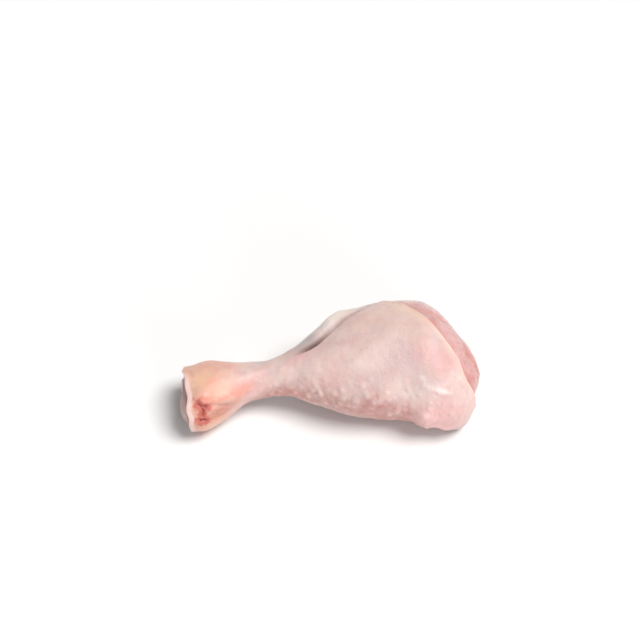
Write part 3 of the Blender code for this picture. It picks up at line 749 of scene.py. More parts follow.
class TubeMesh:
    """Grids of rings joined into one closed mesh, with a baking map and named values on its points."""

    def __init__(self, columns):
        self.columns = columns
        self.count = 0
        self.points = []
        self.faces = []
        self.places = []
        self.values = {}

    def add_points(self, points, values):
        """Add points with their values. Returns the first one's number."""
        first = self.count
        self.count += points.size // 3
        self.points.append(points.reshape(-1, 3) - BOX_MIDDLE)
        for name, value in values.items():
            self.values.setdefault(name, []).append(np.broadcast_to(value, points.shape[:-1]).ravel())
        return first

    def add_rings(self, points, values):
        """Add rings of points, each row one ring. Returns the number of each ring's first point."""
        return self.add_points(points, values) + np.arange(len(points)) * self.columns

    def join(self, corners, turned):
        """Add a row of faces. Each corner is its points' numbers and their places along and up the map."""
        if turned:
            corners = corners[::-1]
        self.faces.append(np.stack([numbers for numbers, _, _ in corners], axis=1))
        places = [np.stack(np.broadcast_arrays(u, v), axis=1) for _, u, v in corners]
        self.places.append(np.stack(places, axis=1))

    def join_rings(self, first, second, low, high, turned=False):
        """Quads from one ring to another, between two heights on the baking map."""
        i = np.arange(self.columns)
        j = (i + 1) % self.columns
        u, v = i / self.columns, (i + 1) / self.columns
        corners = [(first + i, u, low), (first + j, v, low), (second + j, v, high), (second + i, u, high)]
        self.join(corners, turned)

    def join_grid(self, firsts, low, high, turned=False):
        """Quads between all neighbouring rings, spread over a band of the baking map."""
        edges = np.linspace(low, high, len(firsts))
        for k in range(len(firsts) - 1):
            self.join_rings(firsts[k], firsts[k + 1], edges[k], edges[k + 1], turned)

    def close_end(self, first, tip, values, low, high, turned=False):
        """A fan of triangles from a ring to one point."""
        i = np.arange(self.columns)
        j = (i + 1) % self.columns
        u, v = i / self.columns, (i + 1) / self.columns
        centre = np.full_like(i, self.add_points(np.array([tip]), values))
        middle = (i + 0.5) / self.columns
        self.join([(first + i, u, low), (first + j, v, low), (centre, middle, high)], turned)

    def build(self, name):
        """Make the mesh, its faces outward, as an object of the scene."""
        mesh = bpy.data.meshes.new(name)
        faces = [tuple(face) for row in self.faces for face in row.tolist()]
        mesh.from_pydata(np.concatenate(self.points).tolist(), [], faces)
        baked = mesh.uv_layers.new(name="OFBake")
        places = np.concatenate([row.reshape(-1, 2) for row in self.places])
        baked.uv.foreach_set("vector", places.astype(np.float32).ravel())
        for key, blocks in self.values.items():
            attribute = mesh.attributes.new(key, "FLOAT", "POINT")
            attribute.data.foreach_set("value", np.concatenate(blocks).astype(np.float32))
        mesh.shade_smooth()
        mesh.validate()
        turn_faces_out(mesh)
        return add_object(name, mesh)


def add_object(name, data):
    made = bpy.data.objects.new(name, data)
    bpy.context.scene.collection.objects.link(made)
    return made


def turn_faces_out(mesh):
    """Turn the faces round if the closed mesh is inside out."""
    mesh.calc_loop_triangles()
    corners = np.zeros(len(mesh.loop_triangles) * 3, np.int32)
    mesh.loop_triangles.foreach_get("vertices", corners)
    places = np.zeros(len(mesh.vertices) * 3, np.float32)
    mesh.vertices.foreach_get("co", places)
    a, b, c = places.reshape(-1, 3)[corners.reshape(-1, 3)].transpose(1, 0, 2)
    if np.einsum("ij,ij->i", a, np.cross(b, c)).sum() < 0:
        mesh.flip_normals()


def spot_distances(points):
    """How far each point is from the nearest feather spot, and that spot's own luck from 0 to 1."""
    draw = np.random.RandomState(SPOT_SEED)
    spots = []
    start = length_at_x(ANKLE_EDGE_X)
    step = SPOT_SPACING * SPOT_ROW_STEP
    for row in range(int((BODY_END - start) / step)):
        at = start + (row + 0.5) * step
        radius = float(body_column(4, at) + body_column(5, at)) / 2
        count = max(3, int(2 * math.pi * radius / SPOT_SPACING))
        for i in range(count):
            turn = 360 * (i + 0.5 * (row % 2) + draw.uniform(-SPOT_JITTER, SPOT_JITTER)) / count
            along = at + draw.uniform(-SPOT_JITTER, SPOT_JITTER) * SPOT_SPACING
            spots.append(body_points(np.array(along), np.array(turn)))
    luck = draw.uniform(0, 1, len(spots))
    tree = KDTree(len(spots))
    for i, spot in enumerate(spots):
        tree.insert(Vector(spot), i)
    tree.balance()
    found = [tree.find(Vector(point))[1:] for point in points.reshape(-1, 3)]
    nearest = np.array([index for index, _ in found])
    distance = np.array([far for _, far in found])
    shape = points.shape[:-1]
    return distance.reshape(shape), luck[nearest].reshape(shape)


def painted(x, degrees, patches, unevenness):
    """A tint laid on in soft patches, each with its own strength, with uneven edges."""
    total = sum(strength * in_patch(x, degrees, patch) for *patch, strength in patches)
    edge = PAINT_EDGE_SHARE * unevenness * smooth_step(3 * total)
    return np.clip(total * (1 + unevenness) + edge, 0, 1)


def skin_zones(length, degrees):
    """Where each tint of the skin lies, painted light and shade among them, from 0 to 1, by its place on the
    leg.
    """
    x = body_column(0, length)
    points = body_points(length, degrees)
    drift = uneven(points, "skin's drift")
    coarse, fine = PAINT_UNEVENNESS
    unevenness = coarse * drift + fine * uneven(points, "skin's fine drift")
    zones = {name: painted(x, degrees, patches, unevenness) for name, patches in SKIN_PAINT.items()}
    from_rim = (knee_rim(degrees) - length) / RIM_FAT_WIDTH
    fat = RIM_FAT * smooth_step(RIM_FAT_LEVEL - from_rim + RIM_FAT_DRIFT * drift)
    off_side = np.abs(turn_from(degrees, RIM_FAT_ANGLE))
    zones["fat"] += fat * smooth_step((RIM_FAT_REACH - off_side) / RIM_FAT_BLEND)
    zones["knob"] = smooth_step((KNOB_TINT_X - x + KNOB_TINT_WAVER * drift) / KNOB_TINT_BLEND)
    rim = np.clip(1 - (length - ankle_edge(degrees)) / ANKLE_RIM_WIDTH, 0, 1)
    zones["rim"] = rim * (1 - RIM_FADE_SHARE * in_patch(x, degrees, RIM_FADE))

    across = across_crease(length, degrees)
    window = fold_window(x)
    tail = smooth_step((x - TAIL_END_X) / TAIL_LENGTH)
    roll = bump(across - ROLL_OFFSET, FOLD_COLOUR_WIDTH) * smooth_step(across / FOLD_COLOUR_EDGE)
    zones["fold"] = window * roll * (TAIL_COLOUR + (1 - TAIL_COLOUR) * tail)
    # painted shade in the fold's hollow, kept in front of the roll
    zones["hollow"] *= smooth_step((ROLL_OFFSET - across) / HOLLOW_SHADE_EDGE)
    # painted shade at the bottom of the crease, fainter along the tail
    darkness = np.maximum(crease_depth(x) / CREASE_DEPTH, TAIL_DARKNESS * window * tail)
    zones["crease"] = darkness * bump(across - CREASE_SHADE_SHIFT, CREASE_SHADE_WIDTH)

    # painted shade along the knob's fold, in the flush colour
    stroke, width, _ = STROKES["knob's fold"]
    zones["flush"] += KNOB_FOLD_SHADE * along_stroke(x, degrees, stroke, width / 2)
    stroke, width, _ = STROKES["nick"]
    nick = NICK_BLOOD * along_stroke(x, degrees, stroke, width)
    zones["gash"] = 1 - from_gash(points, x, degrees) / GASH_REACH + nick
    return {name: np.clip(zone, 0, 1) for name, zone in zones.items()}


def goose_flesh_strength(x, degrees):
    """How strongly the feather spots stand up at each place."""
    sides = sum(share * bump(turn_from(degrees, angle), reach) for angle, reach, share in SPOT_SIDES)
    strength = SPOT_CALM + (1 - SPOT_CALM) * np.clip(sides, 0, 1)
    for edge, blend in SPOT_FADES:
        strength = strength * smooth_step((x - edge) / blend)
    return strength


def skin_places(rows, crowding=0.0):
    """The lengths and angles of a grid over the skin, bent to follow the crease."""
    share, turn = share_and_turn(share_steps(rows, crowding), SKIN_AROUND)
    degrees = turn
    for _ in range(BEND_ROUNDS):
        first = ankle_edge(degrees)
        length = first + share * (knee_rim(degrees) - first)
        degrees = follow_crease(length, turn)
    return length, degrees


def build_skin(settings):
    """The skin: a sleeve open at the ankle and at the knee, with its relief on the outside."""
    tube = TubeMesh(SKIN_AROUND)
    length, degrees = skin_places(SKIN_ALONG)
    plain = body_points(length, degrees)
    x = plain[..., 0]
    distance, luck = spot_distances(plain)
    lumpy = in_patch(x, degrees, LUMP_PATCH)
    least, more = SPOT_WIDTH_BY_LUCK
    width = (SPOT_WIDTH + (LUMP_WIDTH - SPOT_WIDTH) * lumpy) * (least + more * luck)
    least, more = SPOT_HEIGHT_BY_LUCK
    spots = goose_flesh_strength(x, degrees) * (least + more * luck ** 2) * bump(distance, width)
    relief = skin_relief(length, degrees) + settings.goose_flesh * spots * (1 + LUMP_BOOST * lumpy)
    relief += FAT_LUMP_HEIGHT * painted(x, degrees, SKIN_PAINT["fat_and_highlight"], 0.0)
    relief += SKIN_LUMP_HEIGHT * painted(x, degrees, SKIN_PAINT["lump"], 0.0)
    relief += RIM_LIP * bump(knee_rim(degrees) - length, RIM_LIP_WIDTH)
    relief += ANKLE_LIP * bump(length - ankle_edge(degrees), ANKLE_LIP_WIDTH)
    relief *= smooth_step(plain[..., 2] / RELIEF_HEIGHT)
    outside = plain + body_normals(length, degrees) * relief[..., None]
    outside[..., 2] = np.maximum(outside[..., 2], 0.0)
    zones = dict(skin_zones(length, degrees), spot=np.clip(spots, 0, 1))
    outer = tube.add_rings(outside, zones)

    length, degrees = skin_places(LINING_ALONG, END_CROWDING)
    depth = skin_depth(length, degrees)
    lining = body_points(length, degrees) - body_normals(length, degrees) * depth[..., None]
    inner = tube.add_rings(lining, {name: float(name == "fat") for name in zones})

    tube.join_grid(outer, *OUTSIDE_BAND)
    tube.join_grid(inner, *LINING_BAND, turned=True)
    tube.join_rings(inner[0], outer[0], *ANKLE_RIM_BAND)
    tube.join_rings(outer[-1], inner[-1], *KNEE_RIM_BAND)
    return tube.build("skin_sleeve")


def flesh_zones(points, length, degrees):
    """Where the flesh is redder, streaked, sinewy or fatty, and darker by painted shade at the ankle and
    rim, from 0 to 1.
    """
    x = points[..., 0]
    from_joint = np.linalg.norm(points - KNEE_JOINT, axis=-1)
    from_edge = between_muscles(points)
    drift = uneven(points, "flesh's drift")
    fine = uneven(points, "flesh's fine drift")
    # the ankle's end is darker red: raw flesh, and painted shade
    ankle = smooth_step((SHADED_RAW_ANKLE_X - x) / SHADED_RAW_ANKLE_BLEND)
    groove = bump(from_edge, GROOVE_WIDTH)
    deep = bump(from_joint, RAW_JOINT_WIDTH) + in_patch(x, degrees, RAW_TIP) + SHADED_RAW_ANKLE_SHARE * ankle
    broad, narrow = TENDON_DRIFT
    patchy = np.clip(TENDON_LEVEL + broad * drift + narrow * fine, 0, 1)
    zones = {
        "deep": deep + RAW_GROOVE_SHARE * groove + RAW_DRIFT * drift,
        "shade": bump(length - knee_rim(degrees), RIM_SHADOW_WIDTH),
        "streak": uneven(points, "flesh's streaks", STREAK_STRETCH) + STREAK_LEVEL,
        "seam": bump(from_edge, SEAM_WIDTH) * np.clip(SEAM_LEVEL + SEAM_DRIFT * fine, 0, 1),
        "tendon": bump(from_joint - TENDON_RADIUS, TENDON_WIDTH) * patchy,
        "fatty": painted(x, degrees, FLESH_FAT, FLESH_FAT_DRIFT * fine),
    }
    return {name: np.clip(zone, 0, 1) for name, zone in zones.items()}


def build_flesh():
    """The flesh under the skin, and in full detail where it stands bare past the rim."""
    covered = share_steps(FLESH_COVERED_ALONG, END_CROWDING)
    rows = np.concatenate([covered, 1 + share_steps(FLESH_BARE_ALONG)[1:]])
    share, degrees = share_and_turn(rows, FLESH_AROUND)
    start = length_at_x(FLESH_START_X)
    edge = knee_rim(degrees) - FLESH_BARE_LEAD
    last = BODY_END - TIP_FAN
    length = start + np.clip(share, 0, 1) * (edge - start) + np.clip(share - 1, 0, 1) * (last - edge)
    depth = flesh_depth(length, degrees)
    points = body_points(length, degrees) - body_normals(length, degrees) * depth[..., None]
    zones = flesh_zones(points, length, degrees)
    tube = TubeMesh(FLESH_AROUND)
    firsts = tube.add_rings(points, zones)
    tube.join_grid(firsts, *FLESH_BAND)
    plain = dict.fromkeys(zones, 0.0)
    knee_tip = (DOME_TIP[0] - BARE_FLESH_DEPTH, *DOME_TIP[1:])
    ankle_tip = (FLESH_START_X, *SECTIONS["ankle's shoulder"][1:3])
    tube.close_end(firsts[-1], knee_tip, plain, FLESH_BAND[1], 1.0)
    tube.close_end(firsts[0], ankle_tip, dict(plain, deep=1.0), FLESH_BAND[0], 0.0, turned=True)
    return tube.build("bare_flesh")


def bone_points(share, degrees, grow, run_out, finished):
    """Points on the bone, or with grow on the bed that it needs, longer by run_out at the ankle."""
    rows = list(BONE_SECTIONS.values())
    lengths = chord_lengths(rows, 3)
    x, y, z, width, height = [curve_through(lengths, column, share * lengths[-1]) for column in zip(*rows)]
    angle = np.radians(degrees)
    knuckle = smooth_step((width - SHAFT_WIDTH) / SHAFT_WIDTH)
    lobes = 1 - CONDYLE_NOTCH * knuckle * bump(np.cos(angle), CONDYLE_NOTCH_WIDTH)
    x = x - run_out * (share == 0) + grow * (share == 1)
    y = y + (width + grow) * np.cos(angle)
    z = z + (height * lobes + grow) * np.sin(angle)
    points = np.stack([x, y, z], axis=-1)
    return points + BONE_GRAIN * uneven(points, "bone's grain")[..., None] if finished else points


def build_bone(name, columns, rows, grow=0.0, run_out=0.0, finished=True):
    """The leg bone as a tube of rings, with both ends closed by smaller rings and a fan."""
    tube = TubeMesh(columns)
    share, degrees = share_and_turn(share_steps(rows, END_CROWDING), columns)
    points = bone_points(share, degrees, grow, run_out, finished)
    firsts = tube.add_rings(points, bone_zones(points))
    tube.join_grid(firsts, *BONE_BAND)
    ankle_tip = np.array(ANKLE_JOINT) - (ANKLE_FACE_CROWN + run_out, 0, 0)
    knee_tip = np.array(KNEE_JOINT) + (KNEE_FACE_CROWN + grow, 0, 0)
    end_rings = END_RINGS if finished else 1
    for ring, first, tip, low, high in ((points[0], firsts[0], ankle_tip, BONE_BAND[0], 0.0),
                                        (points[-1], firsts[-1], knee_tip, BONE_BAND[1], 1.0)):
        at_ankle = high < low
        edges = np.linspace(low, high, end_rings + 1)
        for k in range(1, end_rings):
            left = 1 - k / end_rings
            level = tip + (ring - tip) * left
            crown = ring[:, 0] + (tip[0] - ring[:, 0]) * (1 - left ** 2)
            level[:, 0] = crown + end_face_relief(level, at_ankle)
            following = tube.add_rings(level[None], bone_zones(level[None]))[0]
            tube.join_rings(first, following, edges[k - 1], edges[k], at_ankle)
            first = following
        if finished:
            tip[0] += end_face_relief(tip[None], at_ankle)[0]
        tube.close_end(first, tip, bone_zones(tip[None]), edges[-2], high, at_ankle)
    return tube.build(name)


def end_face_relief(points, at_ankle):
    """The saddle between the two round lobes of a joint's face, as a shift in x."""
    joint, outward = (ANKLE_JOINT, -1) if at_ankle else (KNEE_JOINT, 1)
    across = points[:, 1] - joint[1]
    relief = LOBE_HEIGHT * bump(np.abs(across) - LOBE_OFFSET, LOBE_WIDTH)
    relief = relief - SADDLE_DEPTH * bump(across, SADDLE_WIDTH)
    return outward * (relief + FACE_GRAIN * uneven(points, "joint's grain"))


def bone_zones(points):
    """Where the bone is cartilage, stained in its grooves, raw and darkened by painted shade at the ankle,
    and pink at the knee.
    """
    x, y, z = np.moveaxis(points, -1, 0)
    ankle_x, knee_x = CARTILAGE_FROM
    caps = smooth_step((ankle_x - x) / CARTILAGE_BLEND) + smooth_step((x - knee_x) / CARTILAGE_BLEND)
    drift = uneven(points, "bone's drift")
    groove = 0.0
    for joint, width in zip((ANKLE_JOINT, KNEE_JOINT), FACE_GROOVE_WIDTHS):
        near = np.linalg.norm(points - joint, axis=-1) < FACE_REACH
        groove = groove + near * bump(y - joint[1], width)
    stained = smooth_step((drift - DRIFT_STAIN_FROM) / DRIFT_STAIN_BLEND)
    # the ankle's cut face: bloodied, and darkened as painted shade
    raw = smooth_step((SHADED_RAW_CARTILAGE_X - x) / CARTILAGE_BLEND)
    off_face = np.hypot(y - KNEE_JOINT[1], z - KNEE_JOINT[2])
    return {
        "cartilage": caps,
        "stain": np.clip(GROOVE_STAIN * groove + DRIFT_STAIN * stained, 0, 1),
        "ankle": raw * (SHADED_RAW_CARTILAGE_LEVEL + SHADED_RAW_CARTILAGE_DRIFT * drift),
        "edge": (x > 0) * smooth_step((off_face - PINK_RIM_FROM + PINK_RIM_WAVER * drift) / PINK_RIM_BLEND),
    }


def cut_bed(flesh):
    """Take the bone's bed out of the flesh."""
    bed = build_bone("bone_bed", BED_AROUND, BED_ALONG, grow=BONE_GAP, run_out=BED_RUN_OUT, finished=False)
    modifier = flesh.modifiers.new("bed of the bone", "BOOLEAN")
    modifier.operation = "DIFFERENCE"
    modifier.solver = "EXACT"
    modifier.object = bed
    depsgraph = bpy.context.evaluated_depsgraph_get()
    shaped = bpy.data.meshes.new_from_object(flesh.evaluated_get(depsgraph))
    flesh.modifiers.clear()
    flesh.data = shaped
    bpy.data.objects.remove(bed)


# ---------------------------------------------------------------------------------------------
# Materials
# ---------------------------------------------------------------------------------------------


class Nodes:
    """A node tree that is built up node by node."""

    def __init__(self, tree):
        self.tree = tree

    def plug(self, socket, value):
        """Give a socket a value, or link another node's output to it."""
        if isinstance(value, bpy.types.NodeSocket):
            self.tree.links.new(value, socket)
        else:
            socket.default_value = value

    def add(self, kind, inputs, output, **options):
        """Add a node with its options and inputs. Returns the named output."""
        node = self.tree.nodes.new("ShaderNode" + kind)
        for name, value in options.items():
            setattr(node, name, value)
        for name, value in inputs.items():
            self.plug(node.inputs[name], value)
        return node.outputs[output]

    def math(self, operation, a, b):
        return self.add("Math", {0: a, 1: b}, "Value", operation=operation)

    def ramp(self, value, low, high, to_low=0.0, to_high=1.0):
        """Spread the values between low and high over a new range, smoothly."""
        inputs = {"Value": value, "From Min": low, "From Max": high, "To Min": to_low, "To Max": to_high}
        return self.add("MapRange", inputs, "Result", interpolation_type="SMOOTHSTEP")


class Finish(Nodes):
    """A Principled material that is built up in layers, in the colours of a group of settings."""

    def __init__(self, name, settings, base):
        self.material = bpy.data.materials.new(name)
        self.material.use_nodes = True
        super().__init__(self.material.node_tree)
        self.settings = settings
        self.space = self.add("TexCoord", {}, "Object")
        self.colour = self.named(base)
        self.height = 0.0

    def named(self, name):
        return (*getattr(self.settings, name), 1)

    def zone(self, name):
        """The values painted on the mesh under this name."""
        return self.add("Attribute", {}, "Fac", attribute_name=name)

    def noise(self, size, detail=3.0, roughness=0.55, stretch=None, distortion=0.0):
        """Noise that changes over about the given size in metres."""
        place = self.space
        if stretch:
            place = self.add("Mapping", {"Vector": place, "Scale": stretch}, "Vector")
        inputs = {"Vector": place, "Scale": 1.0 / size, "Detail": detail, "Roughness": roughness,
                  "Distortion": distortion}
        return self.add("TexNoise", inputs, "Fac")

    def cloud(self, low, high, most, *noise, least=0.0):
        """Noise as soft clouds, from least where it is under low to most where it is over high."""
        return self.ramp(self.noise(*noise), low, high, least, most)

    def ragged(self, name, size, unevenness, low, high):
        """A painted zone with its edge broken up by noise, from none below low to all above high."""
        broken = self.share(self.math("SUBTRACT", self.noise(size), 0.5), unevenness)
        return self.ramp(self.math("ADD", self.zone(name), broken), low, high)

    def share(self, a, b):
        return self.math("MULTIPLY", a, b)

    def tint(self, name, amount=None):
        """Lay a colour over the ones so far, by an amount or else by the painted zone of its name."""
        amount = self.zone(name) if amount is None else amount
        inputs = {"Factor": amount, "A": self.colour, "B": self.named(name)}
        self.colour = self.add("Mix", inputs, "Result", data_type="RGBA")

    def raise_by(self, amount, *noise):
        """Add relief from noise, in metres for a height of 1."""
        self.height = self.math("ADD", self.share(self.noise(*noise), amount), self.height)

    def done(self, roughness, subsurface, depth, radius, coat, coat_roughness):
        """Fill in the shader. Returns the material."""
        inputs = {"Base Color": self.colour, "Roughness": roughness, "IOR": 1.40,
                  "Subsurface Weight": subsurface, "Subsurface Scale": depth, "Subsurface Radius": radius,
                  "Coat Weight": coat, "Coat Roughness": coat_roughness}
        if self.height:
            relief = self.add("Bump", {"Strength": 1.0, "Distance": 1.0, "Height": self.height}, "Normal")
            inputs.update({"Normal": relief, "Coat Normal": relief})
        shader = self.tree.nodes["Principled BSDF"]
        for name, value in inputs.items():
            self.plug(shader.inputs[name], value)
        return self.material


def skin_material(settings):
    finish = Finish("raw_skin", settings, "belly")
    finish.tint("pale", finish.cloud(0.46, 0.62, 0.25, 0.012))
    finish.tint("lilac", finish.cloud(0.50, 0.64, 0.6, 0.0085))
    finish.tint("pink", finish.cloud(0.52, 0.66, 0.5, 0.0070))
    # Of these, the pale and the bright pink patches are partly painted light on shaded skin, and some pink
    # and rosy patches are painted shade.
    for name in ("fat", "warm", "lilac", "pink", "rosy_and_underside_shade", "pale", "pink_painted_light"):
        finish.tint(name)
    blotch = finish.cloud(0.46, 0.66, 0.7, 0.0045, 4.0, 0.6, least=0.1)
    blotch = finish.share(blotch, finish.math("SUBTRACT", 1.0, finish.zone("spot")))
    finish.tint("blotch", finish.share(blotch, finish.zone("rosy_and_underside_shade")))
    finish.tint("knob")
    finish.tint("flush", finish.share(finish.zone("knob"), finish.cloud(0.50, 0.64, 0.5, 0.009)))
    # Of these, shade, hollow and crease are painted shade, and the flush also holds painted shade along the
    # knob's fold.
    for name in ("yellow", "flush", "shade", "fold", "hollow", "crease"):
        finish.tint(name)
    # The fat flecks: pale fat that is also a painted highlight.
    finish.tint("fat_and_highlight", finish.ragged("fat_and_highlight", 0.0024, 0.9, 0.15, 1.00))
    finish.tint("rim", finish.ragged("rim", 0.0014, 0.20, 0.48, 0.64))
    finish.tint("spot", finish.share(finish.zone("spot"), 0.4))
    finish.tint("spot", finish.share(finish.ragged("lump", 0.0020, 0.8, 0.15, 1.0), 0.75))
    finish.tint("spot", finish.cloud(0.52, 0.70, 0.25, 0.0028, 4.0, 0.6))
    finish.tint("rosy_and_underside_shade", finish.cloud(0.50, 0.72, 0.20, 0.0065, 5.0, 0.62))
    finish.tint("blood", finish.share(finish.ragged("gash", 0.0016, 0.9, 0.22, 0.68), 0.95))
    finish.tint("clot", finish.share(finish.ragged("gash", 0.0010, 0.50, 0.84, 1.04), 0.80))
    finish.raise_by(0.00022, 0.0011, 5.0, 0.6)
    finish.raise_by(0.00025, 0.0035, 3.0, 0.5, (1.0, 0.6, 0.6))
    shine = finish.cloud(0.3, 0.7, 0.54, 0.004, least=0.38)
    return finish.done(shine, 0.55, 0.0014, (1.0, 0.42, 0.30), 0.16, 0.20)


def flesh_material(settings):
    finish = Finish("wet_flesh", settings, "flesh")
    finish.tint("membrane", finish.cloud(0.42, 0.70, 0.35, 0.0022, 4.0, 0.6, (0.16, 1.0, 1.0), 0.4))
    finish.tint("membrane", finish.share(finish.zone("streak"), 0.2))
    finish.tint("deep", finish.share(finish.zone("deep"), 0.75))
    finish.tint("deep", finish.cloud(0.52, 0.70, 0.4, 0.006))
    # painted shadow under the skin's rim, in the deep flesh colour
    finish.tint("deep", finish.share(finish.zone("shade"), 0.55))
    finish.tint("fat", finish.share(finish.ragged("fatty", 0.0030, 1.3, 0.20, 1.20), 0.65))
    finish.tint("sinew", finish.share(finish.zone("seam"), 0.5))
    finish.tint("sinew", finish.ragged("tendon", 0.0022, 1.1, 0.35, 1.25))
    finish.raise_by(0.00016, 0.0012, 4.0, 0.6, (0.25, 1.0, 1.0))
    finish.raise_by(0.0003, 0.0040)
    shine = finish.cloud(0.3, 0.7, 0.42, 0.003, least=0.26)
    return finish.done(shine, 0.6, 0.0022, (1.0, 0.30, 0.22), 0.5, 0.10)


def bone_material(settings):
    finish = Finish("cartilage_and_bone", settings, "bone")
    finish.tint("cartilage")
    finish.tint("bone", finish.cloud(0.45, 0.70, 0.5, 0.004))
    # the ankle's cut face, bloodied and darkened as painted shade
    finish.tint("raw", finish.share(finish.zone("ankle"), 0.85))
    finish.tint("edge", finish.share(finish.ragged("edge", 0.0018, 0.7, 0.10, 0.80), 0.85))
    finish.tint("stain", finish.share(finish.zone("stain"), 0.5))
    finish.tint("stain", finish.cloud(0.60, 0.72, 0.5, 0.0016, 4.0, 0.6))
    finish.raise_by(0.00018, 0.0015, 4.0)
    return finish.done(0.34, 0.5, 0.0020, (1.0, 0.55, 0.40), 0.4, 0.12)


def floor_material(settings):
    return Finish("pale_floor", settings, "floor").done(0.9, 0.0, 0.001, (1, 1, 1), 0.0, 0.5)


# ---------------------------------------------------------------------------------------------
# What a user can change
# ---------------------------------------------------------------------------------------------


def colour(name, description, *default):
    return FloatVectorProperty(name=name, description=description, default=default,
                               subtype="COLOR", size=3, min=0.0, max=1.0)


class DrumstickSkinSettings(bpy.types.PropertyGroup):
    goose_flesh: FloatProperty(
        name="Goose flesh", description="How high the feather spots stand",
        default=0.00034, min=0.0, max=0.001, precision=5, unit="LENGTH")
    belly: colour("Belly", "The taut skin over the muscle", 0.648, 0.488, 0.458)
    fat_and_highlight: colour("Fat flecks and painted highlights", "Small pale fat flecks, and highlights painted on the skin", 0.80, 0.70, 0.67)
    pale: colour("Pale patches and painted light", "The whiter skin, and painted light on shaded skin", 0.80, 0.645, 0.605)
    fat: colour("Fat", "Where fat shows through, most along the cut rim", 0.74, 0.53, 0.445)
    warm: colour("Warm patches", "The lighter, warmer skin over the calf", 0.75, 0.535, 0.50)
    lilac: colour("Cool patches", "The cooler skin on the belly", 0.58, 0.425, 0.425)
    pink_painted_light: colour("Pink painted light", "Bright pink painted light on shaded skin, most at the hem's corner", 0.84, 0.53, 0.515)
    pink: colour("Pink side and painted shade", "The pinker skin at the knee and neck, and painted shade over a highlight by the rim", 0.63, 0.385, 0.37)
    rosy_and_underside_shade: colour("Rosy side and underside shade", "The redder skin low on the front, and painted shade under the neck", 0.57, 0.30, 0.275)
    blotch: colour("Blotches", "The reddest blotches", 0.52, 0.21, 0.18)
    knob: colour("Ankle knob", "The thicker skin at the ankle", 0.67, 0.40, 0.315)
    yellow: colour("Yellow patches", "The yellowest skin on the ankle", 0.80, 0.52, 0.36)
    flush: colour("Ankle flush", "The flushed patches on the ankle, and painted shade along its fold", 0.70, 0.285, 0.215)
    shade: colour("Painted knob shade", "Painted shade on the ankle knob, most under its fold", 0.51, 0.232, 0.168)
    rim: colour("Ankle rim", "The white edge of the ankle's cut", 0.76, 0.56, 0.52)
    fold: colour("Fold", "The slack white fold", 0.655, 0.585, 0.53)
    hollow: colour("Fold's hollow shade", "Painted grey shade low in the fold", 0.47, 0.385, 0.42)
    crease: colour("Crease shade", "Painted shade at the bottom of the fold's crease", 0.26, 0.17, 0.15)
    spot: colour("Feather spots", "The tops of the feather spots", 0.72, 0.54, 0.505)
    blood: colour("Blood", "The raw red round the ankle's gash", 0.50, 0.13, 0.10)
    clot: colour("Clot", "The darkest blood", 0.22, 0.045, 0.035)


class DrumstickFleshSettings(bpy.types.PropertyGroup):
    flesh: colour("Flesh", "The bare muscle", 0.57, 0.31, 0.30)
    membrane: colour("Membrane", "The pale film and streaks on the muscle", 0.64, 0.47, 0.44)
    deep: colour("Deep flesh", "The hollow round the joint and the grooves, and painted shade under the rim and at the ankle", 0.44, 0.13, 0.105)
    sinew: colour("Sinew", "The white seams between the muscles and at the joint", 0.68, 0.57, 0.52)
    fat: colour("Flesh's fat", "The fat left on the flesh beside the skin", 0.70, 0.51, 0.41)


class DrumstickBoneSettings(bpy.types.PropertyGroup):
    bone: colour("Bone", "The bone and its duller patches", 0.62, 0.49, 0.41)
    cartilage: colour("Cartilage", "The white caps of the joints", 0.64, 0.545, 0.50)
    edge: colour("Cartilage's edge", "The pinker rim of the knee's cartilage", 0.60, 0.31, 0.26)
    raw: colour("Raw cartilage", "The bloodied cartilage in the ankle's cut, darkened as painted shade", 0.40, 0.19, 0.18)
    stain: colour("Stain", "Blood in the joint's grooves", 0.42, 0.10, 0.09)


class DrumstickStudioSettings(bpy.types.PropertyGroup):
    camera_elevation: FloatProperty(
        name="Camera height", description="The camera's angle above the floor",
        default=math.radians(52), subtype="ANGLE")
    lens: FloatProperty(
        name="Lens", description="The lens's focal length in millimetres", default=100.0, min=20.0)
    picture_width: FloatProperty(
        name="Picture width", description="The width of floor that the picture takes in, at the leg",
        default=0.288, unit="LENGTH")
    main_strength: FloatProperty(name="Main light", description="The main light's strength", default=3.12)
    front_strength: FloatProperty(name="Front light", description="The front light's strength", default=0.66)
    sky: FloatProperty(
        name="Surround", description="The brightness of the white surround overhead", default=0.31)
    horizon: FloatProperty(
        name="Horizon", description="The brightness of the surround at eye level", default=1.0)
    floor: colour("Floor", "The pale floor", 0.80, 0.80, 0.80)


# ---------------------------------------------------------------------------------------------
# Operators
# ---------------------------------------------------------------------------------------------


def dress(piece, material, node):
    """Give a piece its material, and tie it to the solid that it stands for."""
    piece.data.materials.clear()
    piece.data.materials.append(material)
    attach(piece, "root")
    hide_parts(node)


class DRUMSTICK_OT_add_skin(bpy.types.Operator):
    """Add the skin with its fold, wrinkles and goose flesh"""

    bl_idname = "drumstick.add_skin"
    bl_label = "Add Skin"

    def execute(self, context):
        settings = context.scene.drumstick_skin
        dress(build_skin(settings), skin_material(settings), "skin")
        return {"FINISHED"}


class DRUMSTICK_OT_add_flesh(bpy.types.Operator):
    """Add the flesh that stands bare at the knee"""

    bl_idname = "drumstick.add_flesh"
    bl_label = "Add Flesh"

    def execute(self, context):
        flesh = build_flesh()
        cut_bed(flesh)
        dress(flesh, flesh_material(context.scene.drumstick_flesh), "meat")
        return {"FINISHED"}


